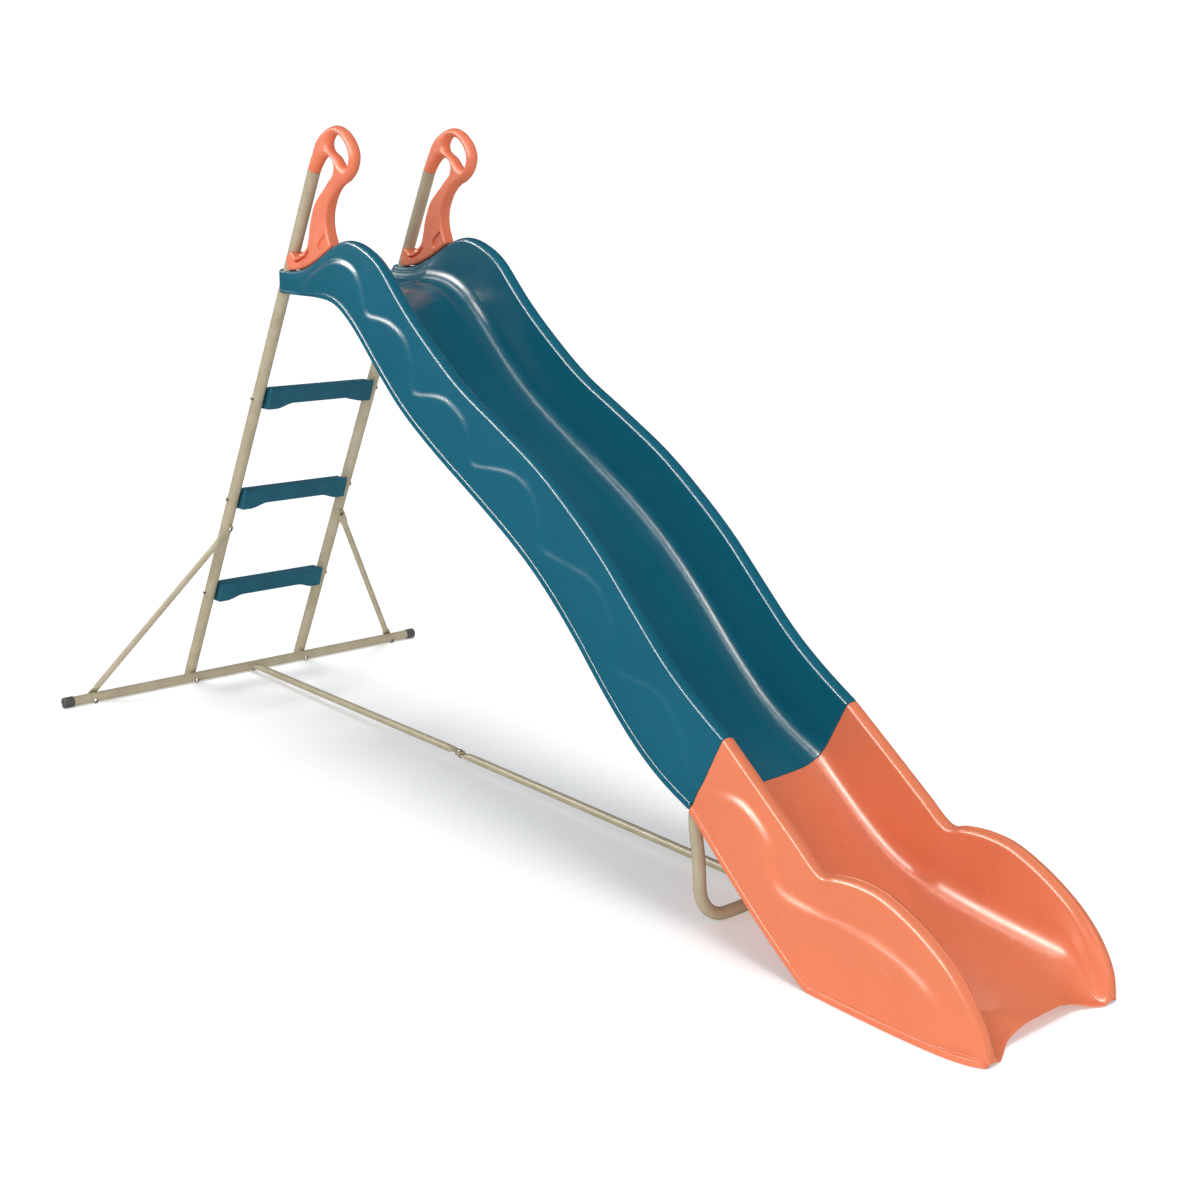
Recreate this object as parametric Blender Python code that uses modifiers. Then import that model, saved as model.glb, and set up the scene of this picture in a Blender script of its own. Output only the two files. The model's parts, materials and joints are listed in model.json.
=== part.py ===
"""Wave slide: two-piece moulded chute on a leaning tube ladder, with moulded grab handles.

Slide frame used for the design: X runs down the slide, Y across it, Z up, floor at Z = 0,
X = 0 over the ground cross tube. The whole object hangs on one empty that moves it so that
the origin lies under the middle of its bounding box. Metres throughout.
"""
import math

import bmesh
import bpy
from mathutils import Matrix, Vector

# ------------------------------------------------------------------ driving dimensions
CENTRE_X = 1.33105           # slide-frame X of the middle of the bounding box
GAP = 0.0003                 # clearance between touching pieces

CROSS_R = 0.0125             # ground cross tube, outer radius
CROSS_Z = 0.0140             # height of its axis (the end caps stand on the floor)
CROSS_HALF = 0.5470          # half length of the bare tube
CAP_R = 0.0140
CAP_HALF = 0.5506            # half width of the ladder base over the caps
CAP_LEN = 0.028

UPRIGHT_R = 0.0145
TUBE_WALL = 0.0015
LEAN = math.radians(29.3)    # ladder lean from vertical, towards the chute
UPRIGHT_LEN = 1.5577         # along the slope, from the floor brace line to the handle
UPRIGHT_HALF_LOW = 0.1727    # half spacing of the uprights at the foot
UPRIGHT_HALF_TOP = 0.1564    # and where the handles plug in

BRACE_R = 0.0080             # diagonal side braces
BRACE_FOOT_Y = 0.466
BRACE_TOP_S = 0.534
FLAT_T = 0.0040              # thickness of a squashed tube end
FLOOR_R = 0.0090             # floor brace tubes
MID_X = 1.030                # where the two floor brace tubes overlap

HOOP_R = 0.0125
HOOP_X = 2.047               # bottom run of the support hoop
HOOP_Y = 0.167
HOOP_BEND = 0.060

STEP_TOP = 0.3045            # height of the first tread
STEP_PITCH = 0.2745
STEP_DEPTH = 0.054
STEP_HEIGHT = 0.053
STEP_WAIST = 0.041           # height of the step over its arched middle

WALL = 0.004                 # moulded chute wall
HANDLE_HALF_T = 0.0145
BOLT_R = 0.0030
HOLE_R = 0.0033
HEX_R = 0.0056               # half width over the corners of an M6 head or nut
HEAD_H = 0.0040
NUT_H = 0.0050

# Chute stations, upper section: rim x, rim z, skirt base x, skirt base z.
UPPER = [
    (0.5790, 1.1500, 0.5840, 1.0955), (0.6180, 1.1470, 0.6180, 1.0935),
    (0.6600, 1.1480, 0.6560, 1.0925), (0.7100, 1.1610, 0.6980, 1.0925),
    (0.7850, 1.1920, 0.7450, 1.0925), (0.8300, 1.2130, 0.7750, 1.0920),
    (0.8700, 1.2235, 0.8080, 1.0900), (0.9150, 1.2190, 0.8480, 1.0820),
    (0.9600, 1.2030, 0.8920, 1.0560), (1.0100, 1.1760, 0.9400, 1.0180),
    (1.0900, 1.0980, 1.0200, 0.9430), (1.1800, 1.0250, 1.1100, 0.8680),
    (1.3000, 0.9420, 1.2300, 0.7940), (1.4300, 0.8760, 1.3600, 0.7240),
    (1.5600, 0.8080, 1.4900, 0.6510), (1.6600, 0.7410, 1.5900, 0.5840),
    (1.7600, 0.6640, 1.6890, 0.4990), (1.8500, 0.5800, 1.7790, 0.4090),
    (1.9400, 0.4970, 1.8690, 0.3280), (2.0200, 0.4390, 1.9490, 0.2740),
    (2.1050, 0.3880, 2.0330, 0.2360),
]
FLOOR_RISE = 0.011           # trough floor above the skirt base, upper section
RIM_HALF_REAR = 0.1575       # half spacing of the rim crests
RIM_HALF_JOINT = 0.1665
SKIRT_OUT = 0.0265           # skirt edge outside the rim crest

# Lower section: rim x, z, floor x, z, skirt base x, z, rim half spacing, base half width.
LOWER = [
    (2.1050, 0.3880, 2.0380, 0.2470, 2.0330, 0.2360, 0.1665, 0.1930),
    (2.1650, 0.3430, 2.0950, 0.2000, 2.0980, 0.1820, 0.1675, 0.1955),
    (2.2250, 0.2980, 2.1550, 0.1520, 2.1640, 0.1290, 0.1685, 0.1985),
    (2.2900, 0.2490, 2.2200, 0.1080, 2.2340, 0.0760, 0.1695, 0.2020),
    (2.3435, 0.2105, 2.2850, 0.0800, 2.3020, 0.0300, 0.1700, 0.2055),
    (2.3850, 0.2200, 2.3450, 0.0660, 2.3500, 0.0030, 0.1700, 0.2080),
    (2.4300, 0.2250, 2.4050, 0.0570, 2.4050, 0.0030, 0.1695, 0.2085),
    (2.4800, 0.2215, 2.4650, 0.0500, 2.4700, 0.0030, 0.1690, 0.2085),
    (2.5300, 0.2045, 2.5200, 0.0450, 2.5300, 0.0030, 0.1685, 0.2075),
    (2.5800, 0.1790, 2.5700, 0.0410, 2.5850, 0.0030, 0.1680, 0.2050),
    (2.6300, 0.1440, 2.6150, 0.0370, 2.6350, 0.0030, 0.1680, 0.2010),
    (2.6710, 0.1000, 2.6500, 0.0340, 2.6710, 0.0030, 0.1685, 0.1940),
    (2.6990, 0.0530, 2.6720, 0.0310, 2.6930, 0.0030, 0.1700, 0.1850),
    (2.7090, 0.0200, 2.6830, 0.0270, 2.7020, 0.0030, 0.1690, 0.1770),
]

# Half section, centre line to rim: (share of rim half spacing, share of wall height).
INNER = [(0.0, 0.0), (0.51, 0.02), (0.697, 0.095), (0.817, 0.25), (0.868, 0.58),
         (0.895, 0.86), (0.934, 0.98), (1.0, 1.0)]
# Rim to skirt edge: (share of the way out to the skirt edge, share of skirt height).
OUTER = [(0.31, 0.95), (0.51, 0.80), (0.69, 0.45), (0.77, 0.06), (0.80, 0.0), (1.0, 0.0)]

SIN, COS = math.sin(LEAN), math.cos(LEAN)
LEAN_DIR = Vector((SIN, 0, COS))         # up the ladder
LEAN_OUT = Vector((COS, 0, -SIN))        # square to the ladder, towards the chute
FOOT_X = -(CROSS_R + UPRIGHT_R + GAP) / COS
JOINT_TILT = (UPPER[-1][0] - UPPER[-1][2]) / (UPPER[-1][1] - UPPER[-1][3])
JOINT_UP = Vector((JOINT_TILT, 0, 1)).normalized()
JOINT_OUT = Vector((1, 0, -JOINT_TILT)).normalized()
JOINT_AT = Vector((UPPER[-1][2], 0, UPPER[-1][3]))


# ------------------------------------------------------------------ scene set-up
for old in list(bpy.data.objects):
    bpy.data.objects.remove(old, do_unlink=True)

parts = bpy.data.collections.new("wave_slide")
tools = bpy.data.collections.new("cutters")
bpy.context.scene.collection.children.link(parts)
bpy.context.scene.collection.children.link(tools)

base = bpy.data.objects.new("slide_origin", None)
base.location = (-CENTRE_X, 0, 0)
parts.objects.link(base)


def material(name, colour, roughness, metallic=0.0):
    mat = bpy.data.materials.new(name)
    mat.use_nodes = True
    shader = mat.node_tree.nodes["Principled BSDF"]
    shader.inputs["Base Color"].default_value = (*colour, 1)
    shader.inputs["Roughness"].default_value = roughness
    shader.inputs["Metallic"].default_value = metallic
    return mat


BLUE = material("blue_plastic", (0.010, 0.145, 0.215), 0.28)
ORANGE = material("orange_plastic", (0.87, 0.20, 0.085), 0.30)
STEP_BLUE = material("step_plastic", (0.012, 0.110, 0.175), 0.45)
BEIGE = material("beige_paint", (0.47, 0.40, 0.26), 0.40)
GREY = material("cap_plastic", (0.10, 0.10, 0.095), 0.55)
ZINC = material("zinc_steel", (0.72, 0.72, 0.70), 0.30, 1.0)


def add(name, mesh, mat, smooth=None):
    obj = bpy.data.objects.new(name, mesh)
    parts.objects.link(obj)
    obj.parent = base
    if not mesh.materials:
        mesh.materials.append(mat)
    if smooth is not None:
        mesh.shade_smooth()
        mesh.set_sharp_from_angle(angle=math.radians(smooth))
    return obj


def cutter(name, mesh):
    obj = bpy.data.objects.new(name, mesh)
    tools.objects.link(obj)
    obj.parent = base
    obj.hide_render = True
    obj.display_type = "WIRE"
    return obj


def cut(obj, tool, operation="DIFFERENCE"):
    mod = obj.modifiers.new(operation.lower(), "BOOLEAN")
    mod.operation = operation
    mod.object = tool
    mod.solver = "EXACT"


def facing(direction):
    return Vector(direction).to_track_quat("Z", "Y").to_matrix().to_4x4()


def new_mesh(name, bm):
    bmesh.ops.recalc_face_normals(bm, faces=bm.faces)
    mesh = bpy.data.meshes.new(name)
    bm.to_mesh(mesh)
    bm.free()
    return mesh


def rods(name, items, segments=8):
    """Plain cylinders, each (start, end, radius), in one mesh."""
    bm = bmesh.new()
    for start, end, radius in items:
        start, end = Vector(start), Vector(end)
        at = Matrix.Translation((start + end) / 2) @ facing(end - start)
        bmesh.ops.create_cone(bm, cap_ends=True, segments=segments, radius1=radius,
                              radius2=radius, depth=(end - start).length, matrix=at)
    return new_mesh(name, bm)


def box(name, centre, size, turn=None):
    bm = bmesh.new()
    at = Matrix.Translation(centre) @ (turn or Matrix.Identity(4))
    bmesh.ops.create_cube(bm, size=1.0, matrix=at @ Matrix.Diagonal((*size, 1)))
    return new_mesh(name, bm)


def frozen(obj, weld=0.00002):
    """The object's evaluated mesh, welded, in its own coordinates."""
    deps = bpy.context.evaluated_depsgraph_get()
    deps.update()
    mesh = bpy.data.meshes.new_from_object(obj.evaluated_get(deps))
    bm = bmesh.new()
    bm.from_mesh(mesh)
    bmesh.ops.remove_doubles(bm, verts=bm.verts, dist=weld)
    bmesh.ops.recalc_face_normals(bm, faces=bm.faces)
    bm.to_mesh(mesh)
    bm.free()
    mesh.materials.clear()
    return mesh


def outline_mesh(name, loops, half, bevel=0.0):
    """A flat outline in local XY, with holes, thickened by half each way along local Z."""
    curve = bpy.data.curves.new(name, "CURVE")
    curve.dimensions = "2D"
    curve.fill_mode = "BOTH"
    curve.extrude = half - bevel
    curve.bevel_depth = bevel
    curve.bevel_resolution = 0
    curve.offset = -bevel
    for loop in loops:
        spline = curve.splines.new("POLY")
        spline.points.add(len(loop) - 1)
        for point, (x, y) in zip(spline.points, loop):
            point.co = (x, y, 0, 1)
        spline.use_cyclic_u = True
    obj = bpy.data.objects.new(name, curve)
    parts.objects.link(obj)
    mesh = frozen(obj)
    bpy.data.objects.remove(obj, do_unlink=True)
    mesh.name = name
    return mesh


def catmull(points, count, closed=False):
    """A smooth run of count points through the given ones."""
    n = len(points)
    spans = n if closed else n - 1
    out = []
    for k in range(count):
        t = k * spans / (count if closed else count - 1)
        i = min(int(t), spans - 1)
        t -= i
        if closed:
            p = [points[(i + j - 1) % n] for j in range(4)]
        else:
            p = [points[max(0, min(n - 1, i + j - 1))] for j in range(4)]
        out.append(tuple(
            0.5 * (2 * b + (c - a) * t + (2 * a - 5 * b + 4 * c - d) * t * t
                   + (3 * b - a - 3 * c + d) * t ** 3)
            for a, b, c, d in zip(*p)))
    return out


# ------------------------------------------------------------------ chute
def upper_rows(count):
    rows = []
    for rx, rz, bx, bz in catmull(UPPER, count):
        share = (rx - UPPER[0][0]) / (UPPER[-1][0] - UPPER[0][0])
        half = RIM_HALF_REAR + (RIM_HALF_JOINT - RIM_HALF_REAR) * share
        lean = (rx - bx) / (rz - bz)
        rows.append((rx, rz, bx + lean * FLOOR_RISE, bz + FLOOR_RISE, bx, bz,
                     half, half + SKIRT_OUT))
    return rows


def section(row):
    rx, rz, fx, fz, bx, bz, half, out = row
    points = []
    for across, up in INNER:
        points.append((fx + (rx - fx) * up, half * across, fz + (rz - fz) * up))
    for across, up in OUTER:
        points.append((bx + (rx - bx) * up, half + (out - half) * across,
                       bz + (rz - bz) * up))
    return points


def carried_on(row, other, reach):
    """The row's own stations carried past it, away from the other row, by about reach metres."""
    share = reach / math.hypot(row[2] - other[2], row[3] - other[3])
    return tuple(a + (a - b) * share for a, b in zip(row, other))


def chute_shell(name, rows, mat):
    columns = len(INNER) + len(OUTER)
    grid = [section(row) for row in rows]
    bm = bmesh.new()
    bmesh.ops.create_grid(bm, x_segments=len(rows) - 1, y_segments=columns - 1, size=1)
    for v in bm.verts:
        i = round((v.co.x + 1) / 2 * (len(rows) - 1))
        j = round((v.co.y + 1) / 2 * (columns - 1))
        v.co = grid[i][j]
    mesh = bpy.data.meshes.new(name)
    bm.normal_update()
    bm.to_mesh(mesh)
    bm.free()
    obj = add(name, mesh, mat, smooth=40)
    mirror = obj.modifiers.new("other_half", "MIRROR")
    mirror.use_axis = (False, True, False)
    mirror.merge_threshold = 0.0001
    shell = obj.modifiers.new("wall", "SOLIDIFY")
    shell.thickness = WALL
    shell.offset = -1
    shell.use_even_offset = True
    shell.thickness_clamp = 1.0
    return obj


def pocket_web(name, side, low, high, depth):
    """Rib that closes a side pocket at the joint plane, between trough wall and skirt."""
    row = upper_rows(3)[-1]
    rx, rz, fx, fz, bx, bz, half, out = row
    height = (Vector((rx, 0, rz)) - Vector((bx, 0, bz))).length

    def inner_y(share):
        pts = [(half * a + 0.0022, (fz + (rz - fz) * u - bz) / (rz - bz)) for a, u in INNER]
        return at_height(pts, share)

    def outer_y(share):
        pts = [(half + (out - half) * a - 0.0022, u) for a, u in OUTER]
        return at_height(pts, share)

    def at_height(pts, share):
        for (y0, u0), (y1, u1) in zip(pts, pts[1:]):
            if min(u0, u1) <= share <= max(u0, u1) and u0 != u1:
                return y0 + (y1 - y0) * (share - u0) / (u1 - u0)
        return pts[-1][0]

    steps = [low + (high - low) * k / 4 for k in range(5)]
    loop = [(inner_y(u) * side, u * height) for u in steps]
    loop += [(outer_y(u) * side, u * height) for u in reversed(steps)]
    mesh = outline_mesh(name, [loop], 0.002)
    turn = Matrix(((0, JOINT_UP.x, JOINT_OUT.x), (1, JOINT_UP.y, JOINT_OUT.y),
                   (0, JOINT_UP.z, JOINT_OUT.z))).to_4x4()
    mesh.transform(Matrix.Translation(JOINT_AT + JOINT_OUT * depth) @ turn)
    bm = bmesh.new()
    bm.from_mesh(mesh)
    bmesh.ops.recalc_face_normals(bm, faces=bm.faces)
    bm.to_mesh(mesh)
    bm.free()
    return mesh


def joint_point(up, side_y, depth=0.0):
    return JOINT_AT + JOINT_UP * up + Vector((0, side_y, 0)) + JOINT_OUT * depth


JOINT_BOLTS = [(0.046, HOOP_Y), (0.108, 0.1665)]     # height up the joint, distance off centre


def upright_point(s, side):
    half = UPRIGHT_HALF_LOW + (UPRIGHT_HALF_TOP - UPRIGHT_HALF_LOW) * s / UPRIGHT_LEN
    return Vector((FOOT_X, 0, CROSS_Z)) + LEAN_DIR * s + Vector((0, half * side, 0))


CHUTE_BOLT_S = (1.1270 - CROSS_Z) / COS
FOOT_BOLT_S = -FOOT_X * SIN

rows = upper_rows(24)
upper = chute_shell("upper_chute", rows + [carried_on(rows[-1], rows[-2], 0.008)], BLUE)
rows = catmull(LOWER, 20)
lower = chute_shell("lower_chute", [carried_on(rows[0], rows[1], 0.008)] + rows, ORANGE)

# the two chutes meet in one slanting plane, half a gap back from it each
for obj, way in ((upper, 1), (lower, -1)):
    at = JOINT_AT + JOINT_UP * 0.09 + JOINT_OUT * (0.050 - GAP / 2) * way
    name = obj.name + "_joint_face"
    cut(obj, cutter(name, box(name, at, (0.1, 0.6, 0.5), Matrix((
        (JOINT_OUT.x, 0, JOINT_UP.x, 0), (0, 1, 0, 0), (JOINT_OUT.z, 0, JOINT_UP.z, 0),
        (0, 0, 0, 1))))))

for side, tag in ((-1, "right"), (1, "left")):
    web = cutter("upper_web_" + tag, pocket_web("upper_web_" + tag, side, 0.16, 0.80, -0.0022 - GAP))
    cut(upper, web, "UNION")
    web = cutter("lower_web_" + tag, pocket_web("lower_web_" + tag, side, 0.16, 0.80, 0.0022 + GAP))
    cut(lower, web, "UNION")
    at = upright_point(CHUTE_BOLT_S, side) + LEAN_OUT * (UPRIGHT_R + GAP + 0.0024)
    at.y = 0.1568 * side
    pad = cutter("ladder_web_" + tag, box("ladder_web_" + tag, at, (0.004, 0.0360, 0.027),
                                          Matrix.Rotation(LEAN, 4, "Y")))
    cut(upper, pad, "UNION")

holes = []
for side in (-1, 1):
    holes.append((upright_point(CHUTE_BOLT_S - 0.15, side), upright_point(CHUTE_BOLT_S + 0.20, side),
                  UPRIGHT_R + GAP))
tube_cut = cutter("upright_passage", rods("upright_passage", holes, 20))
cut(upper, tube_cut)
holes = []
for side in (-1, 1):
    at = upright_point(CHUTE_BOLT_S, side)
    holes.append((at + LEAN_OUT * 0.012, at + LEAN_OUT * 0.030, HOLE_R))
    for up, y in JOINT_BOLTS:
        holes.append((joint_point(up, y * side, -0.012), joint_point(up, y * side, 0.012), HOLE_R))
bolt_cut = cutter("chute_bolt_holes", rods("chute_bolt_holes", holes))
cut(upper, bolt_cut)
cut(lower, bolt_cut)
floor_cut = cutter("floor_trim", box("floor_trim", (2.5, 0, -0.05), (0.8, 0.6, 0.1)))
cut(lower, floor_cut)

# ------------------------------------------------------------------ tubes
def tube(name, start, end, radius, mat, segments=14):
    """Straight hollow tube: a wall profile turned about its axis."""
    start, end = Vector(start), Vector(end)
    length = (end - start).length
    bm = bmesh.new()
    ring = [bm.verts.new(p) for p in ((radius, 0, length), (radius, 0, 0),
                                      (radius - TUBE_WALL, 0, 0), (radius - TUBE_WALL, 0, length))]
    for a, b in zip(ring, ring[1:] + ring[:1]):
        bm.edges.new((a, b))
    mesh = bpy.data.meshes.new(name)
    bm.to_mesh(mesh)
    bm.free()
    obj = add(name, mesh, mat)
    obj.location = start
    obj.rotation_mode = "QUATERNION"
    obj.rotation_quaternion = (end - start).to_track_quat("Z", "Y")
    turn = obj.modifiers.new("turn", "SCREW")
    turn.axis = "Z"
    turn.angle = math.tau
    turn.steps = turn.render_steps = segments
    turn.use_merge_vertices = True
    turn.merge_threshold = 0.0001
    turn.use_smooth_shade = True
    return obj


upright_low = -0.0065
FLOOR_BOLT_Z = 0.0105
cross_holes = [((-0.03, 0, FLOOR_BOLT_Z), (0.03, 0, FLOOR_BOLT_Z), HOLE_R)]
for side, tag in ((-1, "right"), (1, "left")):
    obj = tube("upright_" + tag, upright_point(upright_low, side), upright_point(UPRIGHT_LEN, side),
               UPRIGHT_R, BEIGE)
    holes = []
    for s in (FOOT_BOLT_S, BRACE_TOP_S, CHUTE_BOLT_S):
        at = upright_point(s, side)
        holes.append((at - LEAN_OUT * 0.03, at + LEAN_OUT * 0.03, HOLE_R))
    for k in range(3):
        z = STEP_TOP + k * STEP_PITCH - STEP_HEIGHT * 0.45
        at = upright_point((z - CROSS_Z) / COS, side)
        holes.append((at + Vector((0, -0.03, 0)), at + Vector((0, 0.03, 0)), HOLE_R))
    cut(obj, cutter("holes_upright_" + tag, rods("holes_upright_" + tag, holes)))
    at = Vector((0, upright_point(FOOT_BOLT_S, side).y, CROSS_Z))
    cross_holes.append((at - LEAN_OUT * 0.03, at + LEAN_OUT * 0.03, HOLE_R))
    at = Vector((0, BRACE_FOOT_Y * side, CROSS_Z))
    cross_holes.append((at - LEAN_OUT * 0.03, at + LEAN_OUT * 0.03, HOLE_R))

cross = tube("ground_cross_tube", (0, -CROSS_HALF, CROSS_Z), (0, CROSS_HALF, CROSS_Z), CROSS_R, BEIGE)
cut(cross, cutter("holes_cross_tube", rods("holes_cross_tube", cross_holes)))

for side, tag in ((-1, "right"), (1, "left")):
    bm = bmesh.new()
    profile = [(0, 0.0), (CAP_R - 0.002, 0.0), (CAP_R, -0.002), (CAP_R, -CAP_LEN),
               (CROSS_R + GAP, -CAP_LEN), (CROSS_R + GAP, -0.0033), (0, -0.0033)]
    verts = [bm.verts.new((r, 0, z)) for r, z in profile]
    for a, b in zip(verts, verts[1:]):
        bm.edges.new((a, b))
    mesh = bpy.data.meshes.new("end_cap_" + tag)
    bm.to_mesh(mesh)
    bm.free()
    obj = add("end_cap_" + tag, mesh, GREY)
    obj.location = (0, CAP_HALF * side, CROSS_Z)
    obj.rotation_euler = (-math.pi / 2 * side, 0, 0)
    turn = obj.modifiers.new("turn", "SCREW")
    turn.axis = "Z"
    turn.angle = math.tau
    turn.steps = turn.render_steps = 20
    turn.use_merge_vertices = True
    turn.merge_threshold = 0.0001
    turn.use_smooth_shade = True


# ------------------------------------------------------------------ tubes with squashed ends
def squashed(name, stations, side_dir, mat, ring=12):
    """Loft along stations (point, half width, half thickness); side_dir is the width direction."""
    side_dir = Vector(side_dir).normalized()
    points = [Vector(s[0]) for s in stations]
    bm = bmesh.new()
    rings = []
    for i, (at, wide, thick) in enumerate(stations):
        a = points[max(0, i - 1)]
        b = points[min(len(points) - 1, i + 1)]
        along = (b - a).normalized()
        across = (side_dir - along * side_dir.dot(along)).normalized()
        flat = along.cross(across)
        power = 1.0 if abs(wide - thick) < 0.0005 else 0.6
        loop = []
        for k in range(ring):
            c, s = math.cos(math.tau * k / ring), math.sin(math.tau * k / ring)
            loop.append(bm.verts.new(Vector(at) + across * wide * math.copysign(abs(c) ** power, c)
                                     + flat * thick * math.copysign(abs(s) ** power, s)))
        rings.append(loop)
    for one, two in zip(rings, rings[1:]):
        for k in range(ring):
            bm.faces.new((one[k], one[(k + 1) % ring], two[(k + 1) % ring], two[k]))
    bm.faces.new(rings[0])
    bm.faces.new(reversed(rings[-1]))
    return add(name, new_mesh(name, bm), mat, smooth=50)


HALF_FLAT = FLAT_T / 2
for side, tag in ((-1, "right"), (1, "left")):
    foot = Vector((0, BRACE_FOOT_Y * side, CROSS_Z)) - LEAN_OUT * (CROSS_R + GAP + HALF_FLAT)
    top = upright_point(BRACE_TOP_S, side) + LEAN_OUT * (UPRIGHT_R + GAP + HALF_FLAT)
    along = (top - foot).normalized()
    length = (top - foot).length
    across = along.cross(LEAN_OUT)
    steps = [(-0.011, 0.0065, HALF_FLAT), (-0.007, 0.0112, HALF_FLAT), (0.010, 0.0112, HALF_FLAT),
             (0.030, BRACE_R, BRACE_R), (length - 0.056, BRACE_R, BRACE_R),
             (length - 0.028, 0.0112, HALF_FLAT), (length + 0.007, 0.0112, HALF_FLAT),
             (length + 0.011, 0.0065, HALF_FLAT)]
    obj = squashed("diagonal_brace_" + tag, [(foot + along * d, w, t) for d, w, t in steps], across, BEIGE)
    holes = [(foot - LEAN_OUT * 0.01, foot + LEAN_OUT * 0.01, HOLE_R),
             (top - LEAN_OUT * 0.01, top + LEAN_OUT * 0.01, HOLE_R)]
    cut(obj, cutter("holes_brace_" + tag, rods("holes_brace_" + tag, holes)))

tab_x = CROSS_R + GAP + HALF_FLAT
hoop_tab_x = HOOP_X - HOOP_R - GAP - HALF_FLAT
rear = [((tab_x, 0, 0.0035), 0.0085, HALF_FLAT), ((tab_x, 0, 0.0065), 0.0115, HALF_FLAT),
        ((tab_x, 0, 0.0168), 0.0115, HALF_FLAT), ((tab_x + 0.0018, 0, 0.0200), 0.0115, HALF_FLAT),
        ((tab_x + 0.0065, 0, 0.0210), 0.0115, HALF_FLAT), ((0.034, 0, 0.0212), 0.0115, HALF_FLAT),
        ((0.056, 0, 0.0208), FLOOR_R, FLOOR_R),
        ((MID_X - 0.040, 0, 0.0312), FLOOR_R, FLOOR_R), ((MID_X - 0.016, 0, 0.0325), 0.0115, HALF_FLAT),
        ((MID_X + 0.008, 0, 0.0325), 0.0115, HALF_FLAT), ((MID_X + 0.013, 0, 0.0325), 0.0070, HALF_FLAT)]
lap = 0.0325 - FLAT_T - GAP
front = [((MID_X - 0.013, 0, lap), 0.0070, HALF_FLAT), ((MID_X - 0.008, 0, lap), 0.0115, HALF_FLAT),
         ((MID_X + 0.016, 0, lap), 0.0115, HALF_FLAT), ((MID_X + 0.040, 0, 0.0300), FLOOR_R, FLOOR_R),
         ((hoop_tab_x - 0.045, 0, 0.0345), FLOOR_R, FLOOR_R),
         ((hoop_tab_x - 0.020, 0, 0.0350), 0.0115, HALF_FLAT),
         ((hoop_tab_x - 0.0065, 0, 0.0347), 0.0115, HALF_FLAT),
         ((hoop_tab_x - 0.0018, 0, 0.0328), 0.0115, HALF_FLAT),
         ((hoop_tab_x, 0, 0.0285), 0.0115, HALF_FLAT), ((hoop_tab_x, 0, 0.0065), 0.0115, HALF_FLAT),
         ((hoop_tab_x, 0, 0.0035), 0.0085, HALF_FLAT)]
obj = squashed("floor_brace_rear", rear, (0, 1, 0), BEIGE)
cut(obj, cutter("holes_floor_rear", rods("holes_floor_rear", [
    ((tab_x - 0.006, 0, FLOOR_BOLT_Z), (tab_x + 0.006, 0, FLOOR_BOLT_Z), HOLE_R),
    ((MID_X, 0, 0.026), (MID_X, 0, 0.04), HOLE_R)])))
obj = squashed("floor_brace_front", front, (0, 1, 0), BEIGE)
cut(obj, cutter("holes_floor_front", rods("holes_floor_front", [
    ((MID_X, 0, 0.02), (MID_X, 0, 0.036), HOLE_R),
    ((hoop_tab_x - 0.006, 0, HOOP_R), (hoop_tab_x + 0.006, 0, HOOP_R), HOLE_R)])))

# ------------------------------------------------------------------ support hoop
tab_depth = -(0.0044 + GAP * 2 + 0.0031)
half_run = []
half_run.append((joint_point(0.064, HOOP_Y, tab_depth), 0.0100, 0.0025))
half_run.append((joint_point(0.059, HOOP_Y, tab_depth), 0.0130, 0.0025))
half_run.append((joint_point(0.030, HOOP_Y, tab_depth), 0.0130, 0.0025))
half_run.append((Vector((2.0225, HOOP_Y, 0.2200)), HOOP_R, 0.0100))
half_run.append((Vector((2.0245, HOOP_Y, 0.1950)), HOOP_R, HOOP_R))
lean_leg = (HOOP_X - 2.0245) / (0.195 - HOOP_R)
corner_y = HOOP_Y - HOOP_BEND
for k in range(5):
    angle = math.pi / 2 * k / 4
    y = corner_y + HOOP_BEND * math.cos(angle)
    z = HOOP_R + HOOP_BEND * (1 - math.sin(angle))
    half_run.append((Vector((HOOP_X - lean_leg * (z - HOOP_R), y, z)), HOOP_R, HOOP_R))
flip = [(Vector((p.x, -p.y, p.z)), w, t) for p, w, t in reversed(half_run)]
run = half_run + flip


def hoop_mesh(name, stations, ring=10):
    points = [s[0] for s in stations]
    bm = bmesh.new()
    rings = []
    last = Vector((0, 1, 0))
    for i, (at, wide, thick) in enumerate(stations):
        a = points[max(0, i - 1)]
        b = points[min(len(points) - 1, i + 1)]
        along = (b - a).normalized()
        across = (last - along * last.dot(along)).normalized()
        last = across
        flat = along.cross(across)
        power = 1.0 if abs(wide - thick) < 0.0005 else 0.65
        loop = []
        for k in range(ring):
            c, s = math.cos(math.tau * k / ring), math.sin(math.tau * k / ring)
            loop.append(bm.verts.new(at + across * wide * math.copysign(abs(c) ** power, c)
                                     + flat * thick * math.copysign(abs(s) ** power, s)))
        rings.append(loop)
    for one, two in zip(rings, rings[1:]):
        for k in range(ring):
            bm.faces.new((one[k], one[(k + 1) % ring], two[(k + 1) % ring], two[k]))
    bm.faces.new(rings[0])
    bm.faces.new(reversed(rings[-1]))
    return new_mesh(name, bm)


hoop = add("support_hoop", hoop_mesh("support_hoop", run), BEIGE, smooth=50)
holes = [((HOOP_X - 0.02, 0, HOOP_R), (HOOP_X + 0.02, 0, HOOP_R), HOLE_R)]
for side in (-1, 1):
    up, y = JOINT_BOLTS[0]
    holes.append((joint_point(up, y * side, -0.014), joint_point(up, y * side, -0.001), HOLE_R))
cut(hoop, cutter("holes_hoop", rods("holes_hoop", holes)))

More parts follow.
